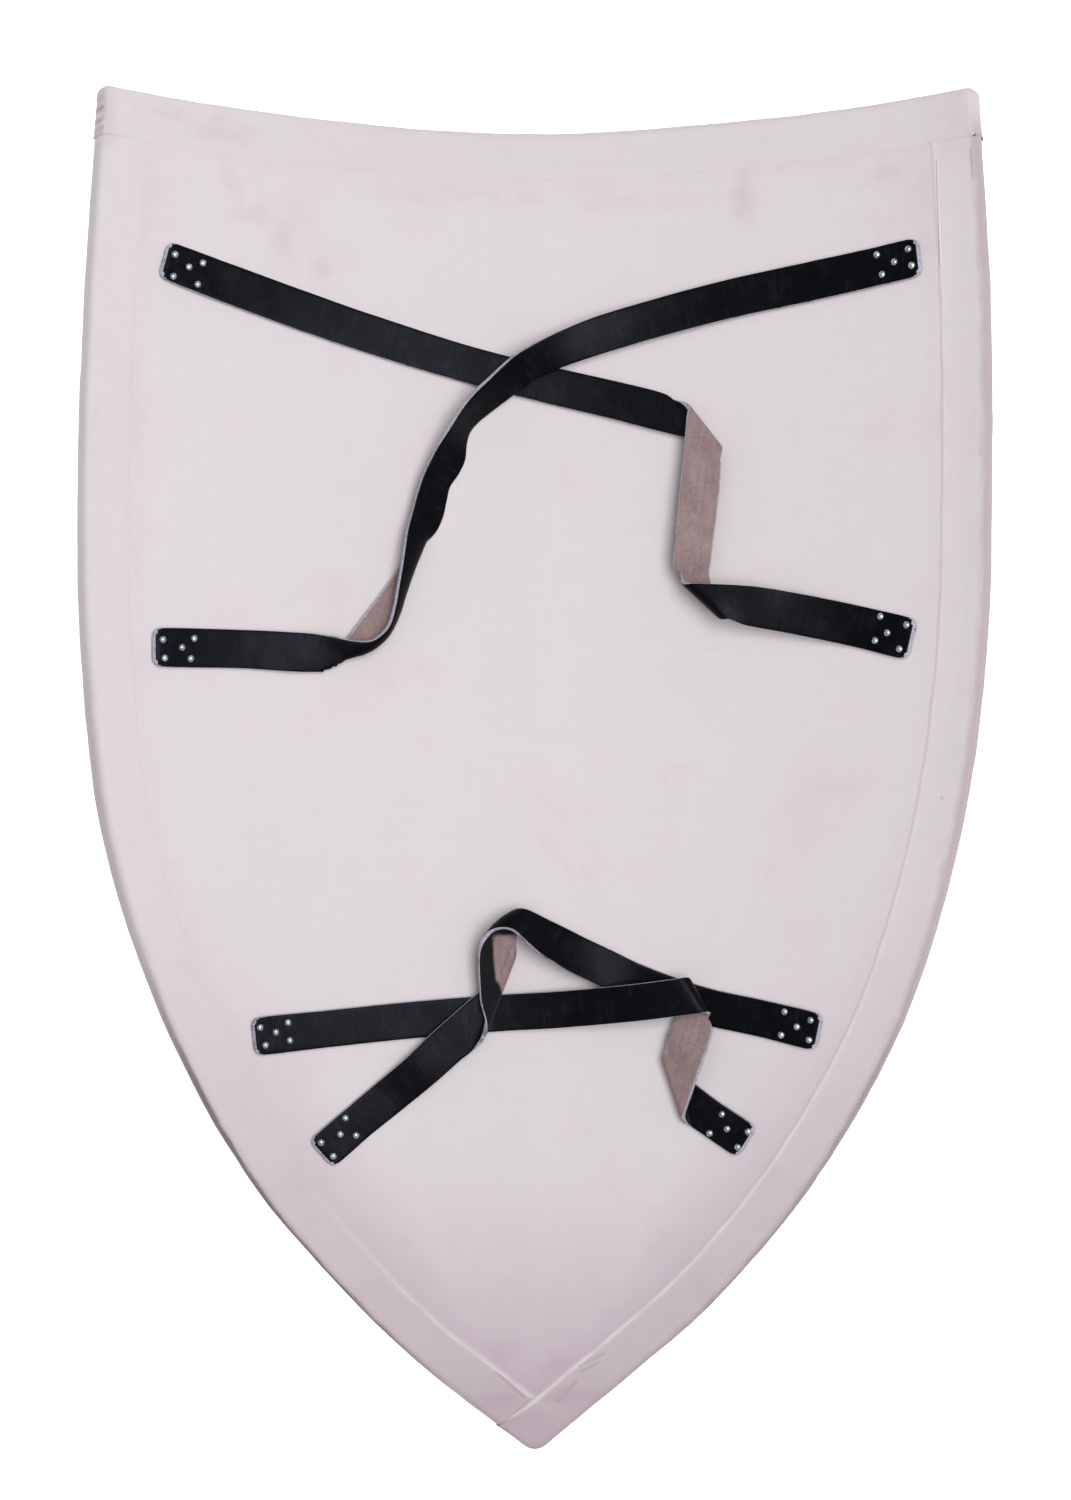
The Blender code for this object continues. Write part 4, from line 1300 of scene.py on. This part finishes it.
# The domed heads on the leather, and the wider ones on the front: radius, height, and how deep they are let in
HEAD_R = 2.1
HEAD_TALL = 1.3
FRONT_HEAD_R = 3.6
FRONT_HEAD_TALL = 1.0
HEAD_SINK = 0.25


def rivet_points():
    """A loose point under each head, with which way up the head is and how far it leans with the bow."""
    places, leans, fronts = [], [], []
    for x, y in UNDER_RIVETS + OVER_RIVETS + LEFT_RIVETS + RIGHT_RIVETS:
        for front, height in ((0.0, 2 * FLAT - 0.5 - HEAD_SINK), (1.0, HEAD_SINK - BOARD_THICK)):
            places.append(place(x, y, height))
            leans.append(-x / BEND_RADIUS)
            fronts.append(front)
    mesh = bpy.data.meshes.new("rivets")
    mesh.from_pydata(places, [], [])
    mark(mesh, "lean", leans)
    mark(mesh, "front", fronts)
    return mesh


def rivet_tree(finish_material):
    """A dome on each point, small and tall on the straps, wide and low on the front, a little uneven."""
    tree = bpy.data.node_groups.new("rivet_heads", "GeometryNodeTree")
    tree.interface.new_socket("Points", in_out="INPUT", socket_type="NodeSocketGeometry")
    for label in ("Head Radius", "Head Height", "Front Radius", "Front Height", "Unevenness"):
        tree.interface.new_socket(label, in_out="INPUT", socket_type="NodeSocketFloat")
    tree.interface.new_socket("Heads", in_out="OUTPUT", socket_type="NodeSocketGeometry")
    given = tree.nodes.new("NodeGroupInput").outputs
    result = tree.nodes.new("NodeGroupOutput")
    spot = add(tree, "GeometryNodeInputPosition")

    def named(name):
        node = add(tree, "GeometryNodeInputNamedAttribute", {"data_type": "FLOAT"}, Name=name)
        return node.outputs["Attribute"]

    def by_side(label):
        """One size for the heads on the straps, and another for those on the front."""
        node = add(tree, "ShaderNodeMix", {"data_type": "FLOAT"}, named("front"))
        wire(tree, given["Head " + label], node.inputs[2])
        wire(tree, given["Front " + label], node.inputs[3])
        return node.outputs[0]

    parts = split(tree, spot)
    high, low = (calc(tree, way, parts["Z"], 0.0) for way in ("MAXIMUM", "MINIMUM"))
    height = plus(tree, calc(tree, "POWER", high, 1.25), times(tree, low, 0.22))
    shaped = add(tree, "ShaderNodeCombineXYZ", (), parts["X"], parts["Y"], height)
    ball = add(tree, "GeometryNodeMeshUVSphere", Segments=20, Rings=14, Radius=1.0)
    dome = add(tree, "GeometryNodeSetPosition", Geometry=ball, Position=shaped)
    wide = by_side("Radius")
    size = add(tree, "ShaderNodeCombineXYZ", (), wide, wide, by_side("Height"))
    turned = times_plus(tree, named("front"), math.pi, named("lean"))
    angles = add(tree, "ShaderNodeCombineXYZ", (), 0.0, turned, 0.0)
    heads = add(tree, "GeometryNodeInstanceOnPoints", Points=given["Points"], Instance=dome)
    fill(tree, heads, Rotation=angles, Scale=size)
    real = add(tree, "GeometryNodeRealizeInstances", Geometry=heads)
    jitter = add(tree, "ShaderNodeTexNoise", Vector=spot, Scale=520.0, Detail=1.0).outputs["Color"]
    offset = scaled(tree, vector(tree, "SUBTRACT", jitter, (0.5, 0.5, 0.5)), given["Unevenness"])
    uneven = add(tree, "GeometryNodeSetPosition", Geometry=real, Offset=offset)
    smooth = add(tree, "GeometryNodeSetShadeSmooth", Geometry=uneven)
    fill(tree, result, Heads=add(tree, "GeometryNodeSetMaterial", Geometry=smooth, Material=finish_material))
    return tree


def steel_material():
    made, tree, shader = principled("bright_steel")
    spot = object_spot(tree)
    scuffs, dull = speckle(tree, spot, 900.0, 3.0, 0.6), speckle(tree, spot, 160.0, 3.0, 0.6)
    colour = blend_colour(tree, remap(tree, dull, 0.4, 0.7), (0.62, 0.68, 0.76, 1.0), (0.40, 0.44, 0.50, 1.0))
    fill(tree, shader, Base_Color=colour, Metallic=1.0, Roughness=remap(tree, scuffs, 0.3, 0.7, 0.22, 0.42))
    bump(tree, shader, scuffs, 0.0001, 0.4)
    return made


heads = link("rivet_points", rivet_points())
step = heads.modifiers.new("Heads", "NODES")
step.node_group = rivet_tree(steel_material())
sizes = {
    "Head Radius": HEAD_R * MM,
    "Head Height": (HEAD_TALL + HEAD_SINK) * MM,
    "Front Radius": FRONT_HEAD_R * MM,
    "Front Height": (FRONT_HEAD_TALL + HEAD_SINK) * MM,
    "Unevenness": 0.00025,
}
for item in step.node_group.interface.items_tree:
    if item.in_out == "INPUT" and item.name in sizes:
        step[item.identifier] = sizes[item.name]
bpy.context.view_layer.update()
graph = bpy.context.evaluated_depsgraph_get()
rivet_mesh = bpy.data.meshes.new_from_object(heads.evaluated_get(graph))
bpy.data.objects.remove(heads, do_unlink=True)
rivet_mesh.name = "steel_rivets"
rivets = link("steel_rivets", rivet_mesh)
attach(rivets, "root")
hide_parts(*[f"rivet_{end}_{number}" for end in range(1, 9) for number in range(1, 6)])
